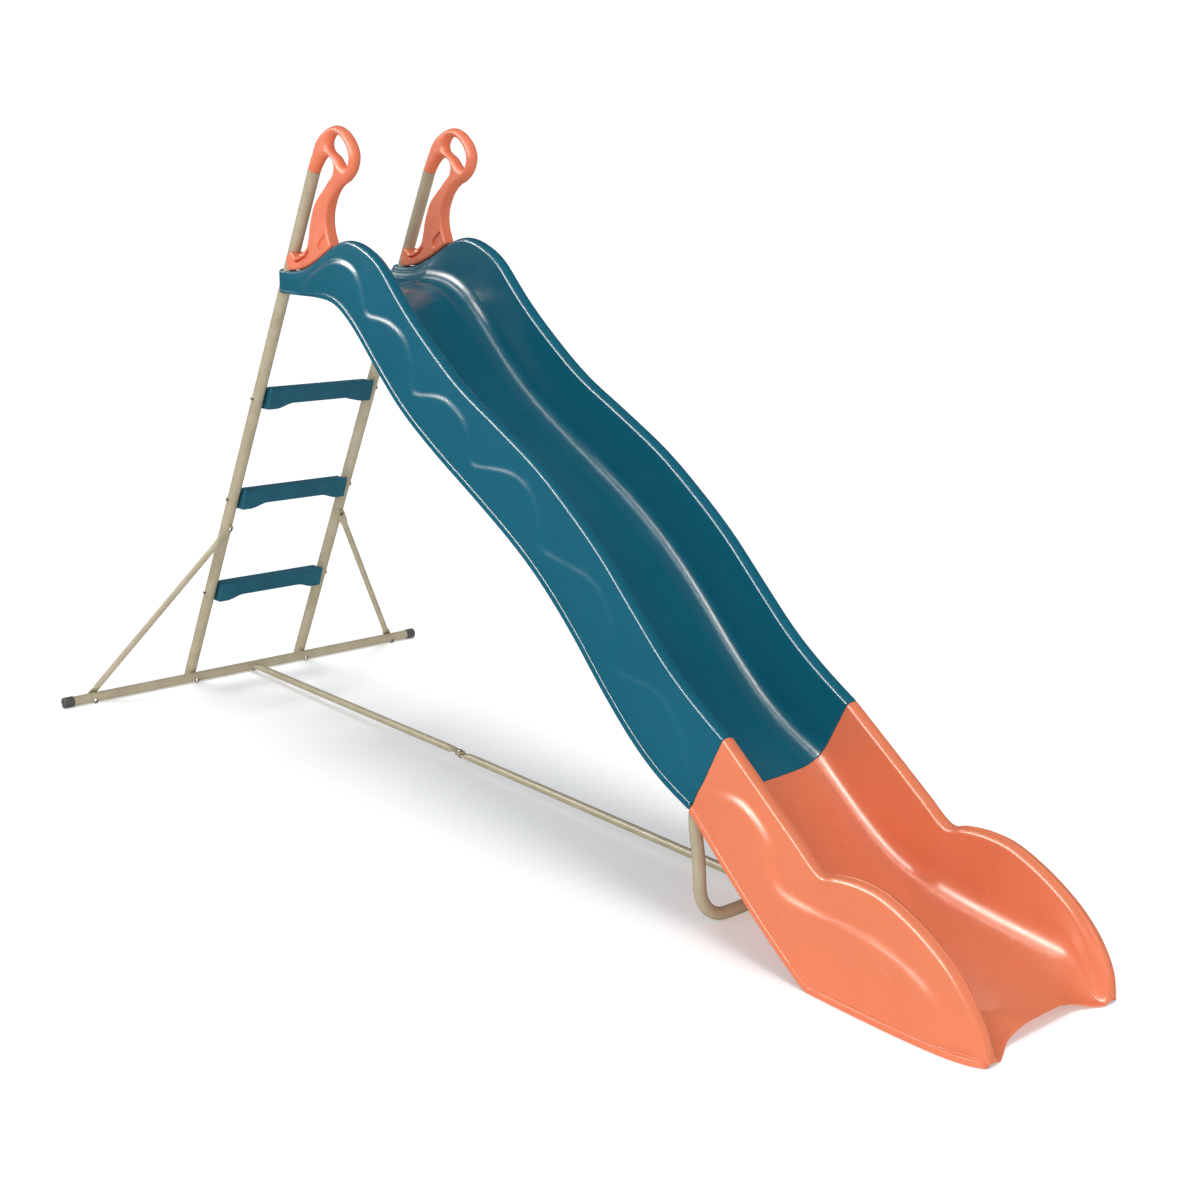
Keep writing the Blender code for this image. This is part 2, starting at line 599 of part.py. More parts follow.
# ------------------------------------------------------------------ steps
for k, tag in enumerate(("lower", "middle", "upper")):
    top = STEP_TOP + k * STEP_PITCH
    s = (top - STEP_HEIGHT * 0.45 - CROSS_Z) / COS
    at = upright_point(s, 1)
    half = at.y - UPRIGHT_R - GAP - 0.0004
    arch = 0.050
    loop = [(-half, 0.0), (half, 0.0), (half, -STEP_HEIGHT), (half - 0.022, -STEP_HEIGHT)]
    for j in range(1, 5):
        t = j / 4
        loop.append((half - 0.022 - arch * t,
                     -STEP_HEIGHT + (STEP_HEIGHT - STEP_WAIST) * (0.5 - 0.5 * math.cos(math.pi * t))))
    loop += [(-x, y) for x, y in reversed(loop[2:])]
    mesh = outline_mesh("step_" + tag, [loop], STEP_DEPTH / 2, 0.003)
    # outline X becomes world Y, outline Y world Z, thickness world X; faces lean with the ladder
    mesh.transform(Matrix(((0, 0, 1, 0), (1, 0, 0, 0), (0, 1, 0, 0), (0, 0, 0, 1))))
    lean = Matrix.Identity(4)
    lean[0][2] = math.tan(math.radians(22))
    mesh.transform(lean)
    obj = add("step_" + tag, mesh, STEP_BLUE, smooth=30)
    obj.location = (at.x + SIN / COS * STEP_HEIGHT * 0.45 + 0.0295 - STEP_DEPTH / 2, 0, top)
    holes = []
    for side in (-1, 1):
        p = upright_point(s, side)
        holes.append((p, p - Vector((0, (UPRIGHT_R + 0.028) * side, 0)), HOLE_R))
    cut(obj, cutter("holes_step_" + tag, rods("holes_step_" + tag, holes)))

# ------------------------------------------------------------------ grab handles
def rim_height(x):
    pts = [(r[0], r[1]) for r in upper_rows(121)]
    for (x0, z0), (x1, z1) in zip(pts, pts[1:]):
        if x0 <= x <= x1:
            return z0 + (z1 - z0) * (x - x0) / (x1 - x0)
    return pts[0][1]


plug = upright_point(UPRIGHT_LEN, 1) + LEAN_DIR * 0.0005
edge = UPRIGHT_R * 0.99
socket_back = (plug.x - LEAN_OUT.x * edge, plug.z - LEAN_OUT.z * edge)
socket_front = (plug.x + LEAN_OUT.x * edge, plug.z + LEAN_OUT.z * edge)
foot_run = [(x, rim_height(x) + 0.0012) for x in (0.806, 0.770, 0.730, 0.690, 0.664)]
HANDLE = (
    [socket_back]
    + catmull([socket_back, (0.740, 1.411), (0.762, 1.440), (0.798, 1.460), (0.838, 1.4675),
               (0.874, 1.457), (0.903, 1.433), (0.916, 1.403), (0.906, 1.372), (0.880, 1.350),
               (0.850, 1.338), (0.820, 1.317), (0.800, 1.292), (0.793, 1.266), (0.796, 1.239),
               (0.809, 1.2080)], 30)[1:]
    + foot_run
    + catmull([(0.661, 1.1500), (0.661, 1.168), (0.664, 1.182), (0.676, 1.188), (0.692, 1.194),
               (0.706, 1.206), (0.715, 1.228), (0.722, 1.252), (0.735, 1.281), (0.752, 1.306),
               (0.776, 1.328), (0.803, 1.350), (0.820, 1.364), (0.824, 1.379), (0.814, 1.392),
               (0.793, 1.396), (0.770, 1.386), socket_front], 32)
)
LOOP = catmull([(0.812, 1.428), (0.824, 1.442), (0.840, 1.445), (0.861, 1.437), (0.880, 1.418),
                (0.887, 1.398), (0.877, 1.380), (0.862, 1.384), (0.842, 1.402), (0.820, 1.415)],
               16, closed=True)
HOOK = catmull([(0.607, rim_height(0.607) + 0.0022), (0.607, 1.172), (0.612, 1.186), (0.625, 1.194),
                (0.640, 1.191), (0.654, 1.186), (0.668, 1.187), (0.684, 1.190),
                (0.694, 1.180), (0.684, rim_height(0.684) + 0.0034)], 18)


def turned_out(mesh, matrix):
    """The mesh moved by the matrix, its faces turned outwards again."""
    mesh.transform(matrix)
    bm = bmesh.new()
    bm.from_mesh(mesh)
    bmesh.ops.recalc_face_normals(bm, faces=bm.faces)
    bm.to_mesh(mesh)
    bm.free()
    return mesh


def joined(first, second, operation, name):
    """Boolean of two meshes, welded into a new mesh."""
    one = bpy.data.objects.new(name, first)
    two = bpy.data.objects.new(name + "_tool", second)
    tools.objects.link(one)
    tools.objects.link(two)
    cut(one, two, operation)
    mesh = frozen(one, 0.000001)
    mesh.name = name
    bpy.data.objects.remove(one, do_unlink=True)
    bpy.data.objects.remove(two, do_unlink=True)
    return mesh


stand = Matrix(((1, 0, 0, 0), (0, 0, -1, 0), (0, 1, 0, 0), (0, 0, 0, 1)))
down = (upright_point(0, 1) - plug).normalized()
left_handle = turned_out(outline_mesh("handle_body", [HANDLE, LOOP], HANDLE_HALF_T, 0.0025),
                         Matrix.Translation((0, plug.y, 0)) @ stand)
hook = turned_out(outline_mesh("handle_hook", [HOOK], 0.0185, 0.003),
                  Matrix.Translation((0, plug.y + 0.0015, 0)) @ stand)
passage = rods("passage", [(plug + down * 0.08, plug + down * 0.60, UPRIGHT_R + GAP + 0.0001)], 16)
hook = joined(hook, passage, "DIFFERENCE", "handle_hook_open")
spigot = rods("spigot", [(plug - down * 0.012, plug + down * 0.050,
                          UPRIGHT_R - TUBE_WALL - GAP - 0.0002)], 14)
left_handle = joined(left_handle, spigot, "UNION", "handle_plugged")
left_handle = joined(left_handle, hook, "UNION", "handle_left")
right_handle = turned_out(left_handle.copy(), Matrix.Diagonal((1, -1, 1, 1)))
right_handle.name = "handle_right"
add("handle_right", right_handle, ORANGE, smooth=45)
add("handle_left", left_handle, ORANGE, smooth=45)

# ------------------------------------------------------------------ fasteners
bolts = {}
nut_mesh = None


def hex_prism(radius, low, high, segments=6):
    bm = bmesh.new()
    bmesh.ops.create_cone(bm, cap_ends=True, segments=segments, radius1=radius, radius2=radius,
                          depth=high - low, matrix=Matrix.Translation((0, 0, (low + high) / 2)))
    return new_mesh("prism", bm)


def bolt(name, at, direction, length):
    key = round(length, 4)
    if key not in bolts:
        bolts[key] = joined(hex_prism(HEX_R, -HEAD_H, 0.0), hex_prism(BOLT_R, -HEAD_H / 2, length, 10),
                            "UNION", "bolt_%d" % round(length * 1000))
    obj = add(name, bolts[key], ZINC)
    obj.location = at
    obj.rotation_mode = "QUATERNION"
    obj.rotation_quaternion = Vector(direction).to_track_quat("Z", "Y")
    return obj


def nut(name, at, direction):
    global nut_mesh
    if nut_mesh is None:
        nut_mesh = joined(hex_prism(HEX_R, 0.0, NUT_H), hex_prism(HOLE_R, -0.002, NUT_H + 0.002, 10),
                          "DIFFERENCE", "nut_m6")
    obj = add(name, nut_mesh, ZINC)
    obj.location = at
    obj.rotation_mode = "QUATERNION"
    obj.rotation_quaternion = Vector(direction).to_track_quat("Z", "Y")
    return obj


for side, tag in ((-1, "right"), (1, "left")):
    at = upright_point(FOOT_BOLT_S, side)
    bolt("foot_bolt_" + tag, at - LEAN_OUT * (UPRIGHT_R + GAP), LEAN_OUT, 0.0620)
    nut("foot_nut_" + tag, at + LEAN_OUT * (UPRIGHT_R + 2 * CROSS_R + 2 * GAP), LEAN_OUT)

    at = Vector((0, BRACE_FOOT_Y * side, CROSS_Z))
    bolt("brace_foot_bolt_" + tag, at - LEAN_OUT * (CROSS_R + 2 * GAP + FLAT_T), LEAN_OUT, 0.0370)
    nut("brace_foot_nut_" + tag, at + LEAN_OUT * (CROSS_R + GAP), LEAN_OUT)

    at = upright_point(BRACE_TOP_S, side)
    bolt("brace_top_bolt_" + tag, at - LEAN_OUT * (UPRIGHT_R + GAP), LEAN_OUT, 0.0410)
    nut("brace_top_nut_" + tag, at + LEAN_OUT * (UPRIGHT_R + 2 * GAP + FLAT_T), LEAN_OUT)

    at = upright_point(CHUTE_BOLT_S, side)
    bolt("chute_bolt_" + tag, at - LEAN_OUT * (UPRIGHT_R + GAP), LEAN_OUT, 0.0420)
    nut("chute_nut_" + tag, at + LEAN_OUT * (UPRIGHT_R + 2 * GAP + 0.0047), LEAN_OUT)

    for j, (up, y) in enumerate(JOINT_BOLTS):
        where = ("low", "high")[j]
        back = -0.0048 - 2 * GAP - (0.0056 + GAP if j == 0 else 0.0)
        bolt("joint_bolt_%s_%s" % (where, tag), joint_point(up, y * side, 0.0045 + 2 * GAP),
             -JOINT_OUT, 0.0045 + 2 * GAP - back + NUT_H + 0.003)
        nut("joint_nut_%s_%s" % (where, tag), joint_point(up, y * side, back), -JOINT_OUT)

    for k, step in enumerate(("lower", "middle", "upper")):
        z = STEP_TOP + k * STEP_PITCH - STEP_HEIGHT * 0.45
        at = upright_point((z - CROSS_Z) / COS, side)
        bolt("step_bolt_%s_%s" % (step, tag), at + Vector((0, (UPRIGHT_R + GAP) * side, 0)),
             (0, -side, 0), 0.0550)

bolt("floor_brace_bolt", (-CROSS_R - GAP, 0, FLOOR_BOLT_Z), (1, 0, 0), 0.0390)
nut("floor_brace_nut", (tab_x + HALF_FLAT + GAP, 0, FLOOR_BOLT_Z), (1, 0, 0))
bolt("middle_bolt", (MID_X, 0, 0.0325 + HALF_FLAT + GAP), (0, 0, -1), 0.0180)
nut("middle_nut", (MID_X, 0, lap - HALF_FLAT - GAP), (0, 0, -1))
bolt("hoop_bolt", (hoop_tab_x - HALF_FLAT - GAP, 0, HOOP_R), (1, 0, 0), 0.0375)
nut("hoop_nut", (HOOP_X + HOOP_R + GAP, 0, HOOP_R), (1, 0, 0))
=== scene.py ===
"""Wave slide, visual model: every moulding, tube and fixing is built here in fine mesh code in the
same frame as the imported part. Lengths in metres. The design frame has X = 0 over the ground cross
tube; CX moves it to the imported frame."""
import json
import math

import bmesh
import bpy
import numpy as np
from mathutils import Matrix, Vector

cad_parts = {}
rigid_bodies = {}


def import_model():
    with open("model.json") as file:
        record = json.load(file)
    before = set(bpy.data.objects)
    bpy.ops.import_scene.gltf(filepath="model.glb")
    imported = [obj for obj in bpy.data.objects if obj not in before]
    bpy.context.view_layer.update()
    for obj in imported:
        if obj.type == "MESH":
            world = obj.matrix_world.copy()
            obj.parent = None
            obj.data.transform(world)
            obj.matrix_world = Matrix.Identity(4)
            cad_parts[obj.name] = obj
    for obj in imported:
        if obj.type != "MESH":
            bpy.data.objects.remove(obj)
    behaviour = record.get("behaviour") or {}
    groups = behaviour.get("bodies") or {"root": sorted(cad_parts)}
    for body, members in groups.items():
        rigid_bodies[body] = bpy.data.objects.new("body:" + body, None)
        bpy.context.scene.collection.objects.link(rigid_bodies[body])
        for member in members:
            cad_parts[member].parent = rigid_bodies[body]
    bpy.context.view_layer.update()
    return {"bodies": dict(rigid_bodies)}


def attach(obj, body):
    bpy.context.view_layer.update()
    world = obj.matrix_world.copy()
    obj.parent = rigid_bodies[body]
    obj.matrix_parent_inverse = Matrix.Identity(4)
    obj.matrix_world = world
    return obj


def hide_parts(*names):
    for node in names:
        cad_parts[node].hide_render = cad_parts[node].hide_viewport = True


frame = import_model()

BODY = sorted(frame["bodies"])[0]
CX = 1.33105
GAP = 0.0003
rng = np.random.default_rng(7)

# ------------------------------------------------------------------ dimensions shared with the part
UPPER = [
    (0.5790, 1.1500, 0.5840, 1.0955), (0.6180, 1.1470, 0.6180, 1.0935),
    (0.6600, 1.1480, 0.6560, 1.0925), (0.7100, 1.1610, 0.6980, 1.0925),
    (0.7850, 1.1920, 0.7450, 1.0925), (0.8300, 1.2130, 0.7750, 1.0920),
    (0.8700, 1.2235, 0.8080, 1.0900), (0.9150, 1.2190, 0.8480, 1.0820),
    (0.9600, 1.2030, 0.8920, 1.0560), (1.0100, 1.1760, 0.9400, 1.0180),
    (1.0900, 1.0980, 1.0200, 0.9430), (1.1800, 1.0250, 1.1100, 0.8680),
    (1.3000, 0.9420, 1.2300, 0.7940), (1.4300, 0.8760, 1.3600, 0.7240),
    (1.5600, 0.8080, 1.4900, 0.6510), (1.6600, 0.7410, 1.5900, 0.5840),
    (1.7600, 0.6640, 1.6890, 0.4990), (1.8500, 0.5800, 1.7790, 0.4090),
    (1.9400, 0.4970, 1.8690, 0.3280), (2.0200, 0.4390, 1.9490, 0.2740),
    (2.1050, 0.3880, 2.0330, 0.2360),
]
LOWER = [
    (2.1050, 0.3880, 2.0380, 0.2470, 2.0330, 0.2360, 0.1665, 0.1930),
    (2.1650, 0.3430, 2.0950, 0.2000, 2.0980, 0.1820, 0.1675, 0.1955),
    (2.2250, 0.2980, 2.1550, 0.1520, 2.1640, 0.1290, 0.1685, 0.1985),
    (2.2900, 0.2490, 2.2200, 0.1080, 2.2340, 0.0760, 0.1695, 0.2020),
    (2.3435, 0.2105, 2.2850, 0.0800, 2.3020, 0.0300, 0.1700, 0.2055),
    (2.3850, 0.2200, 2.3450, 0.0660, 2.3500, 0.0030, 0.1700, 0.2080),
    (2.4300, 0.2250, 2.4050, 0.0570, 2.4050, 0.0030, 0.1695, 0.2085),
    (2.4800, 0.2215, 2.4650, 0.0500, 2.4700, 0.0030, 0.1690, 0.2085),
    (2.5300, 0.2045, 2.5200, 0.0450, 2.5300, 0.0030, 0.1685, 0.2075),
    (2.5800, 0.1790, 2.5700, 0.0410, 2.5850, 0.0030, 0.1680, 0.2050),
    (2.6300, 0.1440, 2.6150, 0.0370, 2.6350, 0.0030, 0.1680, 0.2010),
    (2.6710, 0.1000, 2.6500, 0.0340, 2.6710, 0.0030, 0.1685, 0.1940),
    (2.6990, 0.0530, 2.6720, 0.0310, 2.6930, 0.0030, 0.1700, 0.1850),
    (2.7090, 0.0060, 2.6830, 0.0270, 2.7040, 0.0020, 0.1690, 0.1770),
]
FLOOR_RISE = 0.011
RIM_HALF_REAR, RIM_HALF_JOINT, SKIRT_OUT = 0.1575, 0.1665, 0.0265
CROSS_R, CROSS_Z, CROSS_HALF = 0.0125, 0.0140, 0.5470
CAP_R, CAP_HALF, CAP_LEN = 0.0140, 0.5506, 0.028
UPRIGHT_R, TUBE_WALL, UPRIGHT_LEN = 0.0145, 0.0015, 1.5577
LEAN = math.radians(29.3)
UPRIGHT_HALF_LOW, UPRIGHT_HALF_TOP = 0.1727, 0.1564
BRACE_R, BRACE_FOOT_Y, BRACE_TOP_S, FLAT_T = 0.0080, 0.466, 0.534, 0.0040
FLOOR_R, MID_X, FLOOR_BOLT_Z = 0.0090, 1.030, 0.0105
HOOP_R, HOOP_X, HOOP_Y, HOOP_BEND = 0.0125, 2.047, 0.167, 0.060
STEP_TOP, STEP_PITCH, STEP_DEPTH, STEP_HEIGHT, STEP_WAIST = 0.3045, 0.2745, 0.054, 0.053, 0.041
BOLT_R, HEX_R, HEAD_H, NUT_H = 0.0030, 0.0056, 0.0040, 0.0050
SIN, COS = math.sin(LEAN), math.cos(LEAN)
LEAN_DIR, LEAN_OUT = Vector((SIN, 0, COS)), Vector((COS, 0, -SIN))
FOOT_X = -(CROSS_R + UPRIGHT_R + GAP) / COS
JOINT_TILT = (2.1050 - 2.0330) / (0.3880 - 0.2360)
JOINT_UP = Vector((JOINT_TILT, 0, 1)).normalized()
JOINT_OUT = Vector((1, 0, -JOINT_TILT)).normalized()
JOINT_AT = Vector((2.0330, 0, 0.2360))
JOINT_BOLTS = [(0.046, HOOP_Y), (0.108, 0.1665)]
CHUTE_BOLT_S = (1.1270 - CROSS_Z) / COS
FOOT_BOLT_S = -FOOT_X * SIN
HALF_FLAT = FLAT_T / 2

# edge of the raised lower field on the skirts (x, z), one arc after another down the slide
WAVE = [
    (0.640, 1.060), (0.672, 1.092), (0.705, 1.122), (0.742, 1.146),
    (0.7839, 1.1625), (0.8108, 1.1720), (0.8427, 1.1775), (0.8877, 1.1728), (0.9217, 1.1576),
    (0.9391, 1.1352), (0.9500, 1.1093), (0.9580, 1.0832), (0.9700, 1.0642),
    (1.0075, 1.0615), (1.0498, 1.0560), (1.0850, 1.0420), (1.1136, 1.0229), (1.1301, 0.9999),
    (1.1376, 0.9746), (1.1385, 0.9486), (1.1409, 0.9229), (1.1508, 0.9092),
    (1.1969, 0.9121), (1.2423, 0.9132), (1.2754, 0.9053), (1.3024, 0.8906), (1.3263, 0.8742),
    (1.3418, 0.8506), (1.3464, 0.8259), (1.3483, 0.8039), (1.3560, 0.7837),
    (1.4072, 0.7854), (1.4567, 0.7869), (1.4931, 0.7844), (1.5248, 0.7740), (1.5521, 0.7584),
    (1.5712, 0.7321), (1.5825, 0.7047), (1.5859, 0.6761), (1.5895, 0.6523), (1.6016, 0.6422),
    (1.6442, 0.6351), (1.6892, 0.6261), (1.7260, 0.6184), (1.7586, 0.6031), (1.7837, 0.5771),
    (1.8015, 0.5475), (1.8075, 0.5158), (1.8060, 0.4817), (1.8080, 0.4600), (1.8175, 0.4487),
    (1.8570, 0.4461), (1.8984, 0.4416), (1.9324, 0.4356), (1.9559, 0.4226), (1.9761, 0.4043),
    (1.9962, 0.3814), (2.0097, 0.3524), (2.0201, 0.3225), (2.0260, 0.2990), (2.0372, 0.2830),
    (2.0910, 0.2898), (2.1498, 0.2900), (2.1959, 0.2769), (2.2320, 0.2463), (2.2440, 0.2100),
    (2.2480, 0.1760), (2.2740, 0.1530), (2.3440, 0.1463), (2.4342, 0.1470), (2.5069, 0.1370),
    (2.5707, 0.1130), (2.6196, 0.0850), (2.6552, 0.0515), (2.6803, 0.0158), (2.6900, -0.0200),
]


def upright_point(s, side):
    half = UPRIGHT_HALF_LOW + (UPRIGHT_HALF_TOP - UPRIGHT_HALF_LOW) * s / UPRIGHT_LEN
    return Vector((FOOT_X, 0, CROSS_Z)) + LEAN_DIR * s + Vector((0, half * side, 0))


def joint_point(up, side_y, depth=0.0):
    return JOINT_AT + JOINT_UP * up + Vector((0, side_y, 0)) + JOINT_OUT * depth


def ease(t):
    t = np.clip(t, 0, 1)
    return t * t * (3 - 2 * t)


# ------------------------------------------------------------------ finishes
def ramp(nodes, links, source, low, high, colours):
    node = nodes.new("ShaderNodeValToRGB")
    node.color_ramp.elements[0].position = low
    node.color_ramp.elements[1].position = high
    node.color_ramp.elements[0].color = (*colours[0], 1)
    node.color_ramp.elements[1].color = (*colours[1], 1)
    links.new(source, node.inputs[0])
    return node.outputs[0]


def noise(nodes, links, coords, scale, detail=3.0, rough=0.55):
    node = nodes.new("ShaderNodeTexNoise")
    node.inputs["Scale"].default_value = scale
    node.inputs["Detail"].default_value = detail
    node.inputs["Roughness"].default_value = rough
    links.new(coords, node.inputs["Vector"])
    return node.outputs[0]


def finish_material(name, deep, pale, worn, rough, grain, grain_height, coat=0.0, metallic=0.0,
                    specular=0.5, stretch=(1, 1, 1), blotch=5.0):
    """Base colour drifting between two tones, paler where edges rub, grained surface, uneven gloss."""
    mat = bpy.data.materials.new(name)
    mat.use_nodes = True
    nodes, links = mat.node_tree.nodes, mat.node_tree.links
    shader = nodes["Principled BSDF"]
    place = nodes.new("ShaderNodeTexCoord")
    mapping = nodes.new("ShaderNodeMapping")
    mapping.inputs["Scale"].default_value = stretch
    links.new(place.outputs["Object"], mapping.inputs["Vector"])
    coords = mapping.outputs["Vector"]
    tone = ramp(nodes, links, noise(nodes, links, coords, blotch, 4.0), 0.35, 0.68, (deep, pale))
    geometry = nodes.new("ShaderNodeNewGeometry")
    edge = ramp(nodes, links, geometry.outputs["Pointiness"], 0.60, 0.75, ((0, 0, 0), (0.25, 0.25, 0.25)))
    rubbed = nodes.new("ShaderNodeMix")
    rubbed.data_type = "RGBA"
    links.new(edge, rubbed.inputs["Factor"])
    links.new(tone, rubbed.inputs["A"])
    rubbed.inputs["B"].default_value = (*worn, 1)
    links.new(rubbed.outputs["Result"], shader.inputs["Base Color"])
    gloss = nodes.new("ShaderNodeMapRange")
    gloss.inputs["From Min"].default_value = 0.3
    gloss.inputs["From Max"].default_value = 0.7
    gloss.inputs["To Min"].default_value = rough * 0.88
    gloss.inputs["To Max"].default_value = rough * 1.14
    links.new(noise(nodes, links, coords, 34.0, 5.0), gloss.inputs["Value"])
    links.new(gloss.outputs["Result"], shader.inputs["Roughness"])
    bump = nodes.new("ShaderNodeBump")
    bump.inputs["Strength"].default_value = 0.22
    bump.inputs["Distance"].default_value = grain_height
    links.new(noise(nodes, links, coords, grain, 2.0), bump.inputs["Height"])
    links.new(bump.outputs["Normal"], shader.inputs["Normal"])
    shader.inputs["Metallic"].default_value = metallic
    shader.inputs["Specular IOR Level"].default_value = specular
    shader.inputs["Coat Weight"].default_value = coat
    shader.inputs["Coat Roughness"].default_value = 0.12
    return mat


BLUE = finish_material("blue_moulding", (0.0036, 0.119, 0.184), (0.0046, 0.130, 0.200),
                       (0.030, 0.200, 0.270), 0.23, 420.0, 0.00002, coat=0.0)
ORANGE = finish_material("orange_moulding", (0.83, 0.225, 0.105), (0.88, 0.245, 0.118),
                         (0.95, 0.38, 0.24), 0.25, 420.0, 0.000006, coat=0.0)
HANDLE_ORANGE = finish_material("handle_moulding", (0.84, 0.205, 0.098), (0.91, 0.232, 0.115),
                                (0.96, 0.36, 0.22), 0.40, 520.0, 0.00006, specular=0.35, blotch=14.0)
STEP = finish_material("step_moulding", (0.0080, 0.105, 0.160), (0.0110, 0.125, 0.188),
                       (0.060, 0.230, 0.290), 0.42, 700.0, 0.00010, specular=0.35, blotch=18.0)
BEIGE = finish_material("beige_enamel", (0.45, 0.385, 0.255), (0.52, 0.455, 0.315),
                        (0.62, 0.56, 0.43), 0.36, 900.0, 0.00006, specular=0.45, blotch=22.0)
GREY = finish_material("cap_rubber", (0.085, 0.080, 0.073), (0.115, 0.108, 0.098),
                       (0.20, 0.19, 0.18), 0.55, 900.0, 0.00010, specular=0.3, blotch=60.0)
ZINC = finish_material("zinc_plate", (0.66, 0.66, 0.64), (0.80, 0.80, 0.78),
                       (0.90, 0.90, 0.88), 0.27, 1500.0, 0.00004, metallic=1.0, blotch=160.0)


# ------------------------------------------------------------------ mesh helpers
def place(obj, slot, nodes):
    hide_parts(*nodes)
    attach(obj, BODY)
    return obj


def mesh_object(name, verts, faces, mat, smooth_angle=None):
    """Object from numpy vertices (design frame) and a list of face arrays."""
    co = np.asarray(verts, float).reshape(-1, 3).copy()
    co[:, 0] -= CX
    mesh = bpy.data.meshes.new(name)
    quads = [f for f in faces if len(f)]
    sizes = np.concatenate([np.full(len(f), f.shape[1], int) for f in quads])
    loops = np.concatenate([f.reshape(-1) for f in quads])
    mesh.vertices.add(len(co))
    mesh.vertices.foreach_set("co", co.astype(np.float32).reshape(-1))
    mesh.loops.add(len(loops))
    mesh.loops.foreach_set("vertex_index", loops.astype(np.int32))
    mesh.polygons.add(len(sizes))
    mesh.polygons.foreach_set("loop_start", np.concatenate([[0], np.cumsum(sizes)[:-1]]).astype(np.int32))
    mesh.update(calc_edges=True)
    mesh.validate()
    obj = bpy.data.objects.new(name, mesh)
    bpy.context.scene.collection.objects.link(obj)
    mesh.materials.append(mat)
    mesh.shade_smooth()
    if smooth_angle is not None:
        mesh.set_sharp_from_angle(angle=math.radians(smooth_angle))
    return obj


class Build:
    """Collects vertex grids and fans into one mesh."""

    def __init__(self):
        self.verts, self.faces, self.count = [], [], 0

    def add(self, verts, faces):
        self.verts.append(np.asarray(verts, float).reshape(-1, 3))
        for f in faces:
            if len(f):
                self.faces.append(np.asarray(f, int) + self.count)
        self.count += len(self.verts[-1])

    def grid(self, points, wrap=False, flip=False):
        n, m = points.shape[:2]
        i, j = np.meshgrid(np.arange(n - 1), np.arange(m if wrap else m - 1), indexing="ij")
        i, j = i.ravel(), j.ravel()
        k = (j + 1) % m
        quads = np.stack([i * m + j, (i + 1) * m + j, (i + 1) * m + k, i * m + k], 1)
        if flip:
            quads = quads[:, ::-1]
        self.add(points, [quads])

    def fan(self, ring, centre, flip=False):
        m = len(ring)
        j = np.arange(m)
        tris = np.stack([j, (j + 1) % m, np.full(m, m)], 1)
        if flip:
            tris = tris[:, ::-1]
        self.add(np.vstack([ring, centre]), [tris])

    def object(self, name, mat, smooth_angle=None, weld=1e-6):
        obj = mesh_object(name, np.vstack(self.verts), self.faces, mat)
        bm = bmesh.new()
        bm.from_mesh(obj.data)
        bmesh.ops.remove_doubles(bm, verts=bm.verts, dist=weld)
        bmesh.ops.recalc_face_normals(bm, faces=bm.faces)
        bm.to_mesh(obj.data)
        bm.free()
        obj.data.shade_smooth()
        if smooth_angle is not None:
            obj.data.set_sharp_from_angle(angle=math.radians(smooth_angle))
        return obj


def catmull(points, count):
    p = np.asarray(points, float)
    n = len(p)
    t = np.linspace(0, n - 1, count)
    i = np.minimum(t.astype(int), n - 2)
    t = (t - i)[:, None]
    a, b = p[np.maximum(i - 1, 0)], p[i]
    c, d = p[i + 1], p[np.minimum(i + 2, n - 1)]
    return 0.5 * (2 * b + (c - a) * t + (2 * a - 5 * b + 4 * c - d) * t * t
                  + (3 * b - a - 3 * c + d) * t ** 3)


def catmull_closed(points, count):
    p = np.asarray(points, float)
    n = len(p)
    t = np.arange(count) * n / count
    i = t.astype(int)
    t = (t - i)[:, None]
    a, b, c, d = p[(i - 1) % n], p[i % n], p[(i + 1) % n], p[(i + 2) % n]
    return 0.5 * (2 * b + (c - a) * t + (2 * a - 5 * b + 4 * c - d) * t * t
                  + (3 * b - a - 3 * c + d) * t ** 3)


def soften(values, sigma):
    """Gaussian smoothing down the rows; the two end rows keep their place."""
    if sigma < 0.3:
        return values
    pad = min(int(sigma * 3) + 1, len(values) - 1)
    x = np.arange(-pad, pad + 1)
    kernel = np.exp(-0.5 * (x / sigma) ** 2)
    kernel /= kernel.sum()
    ext = np.concatenate([2 * values[0] - values[pad:0:-1], values,
                          2 * values[-1] - values[-2:-pad - 2:-1]])
    return np.stack([np.convolve(ext[:, c], kernel, "valid") for c in range(values.shape[1])], 1)


def even_rows(table, spacing):
    """Rows at an even spacing along the chute from the coarse station table."""
    dense = catmull(table, 4000)
    middle = (dense[:, 0:2] + dense[:, -4:-2] if table.shape[1] > 6 else dense[:, 0:2] + dense[:, 2:4]) / 2
    run = np.concatenate([[0], np.cumsum(np.hypot(*np.diff(middle, axis=0).T))])
    n = int(run[-1] / spacing) + 1
    at = np.linspace(0, run[-1], n)
    return np.stack([np.interp(at, run, dense[:, c]) for c in range(dense.shape[1])], 1), run[-1] / (n - 1)


def arc(cx, cy, r, a0, a1, n):
    a = np.radians(np.linspace(a0, a1, n))
    return np.stack([cx + r * np.cos(a), cy + r * np.sin(a)], 1)


N_FLOOR, N_FILLET, N_WALL, N_CORNER, N_DOME, N_SKIRT = 12, 18, 10, 9, 8, 26


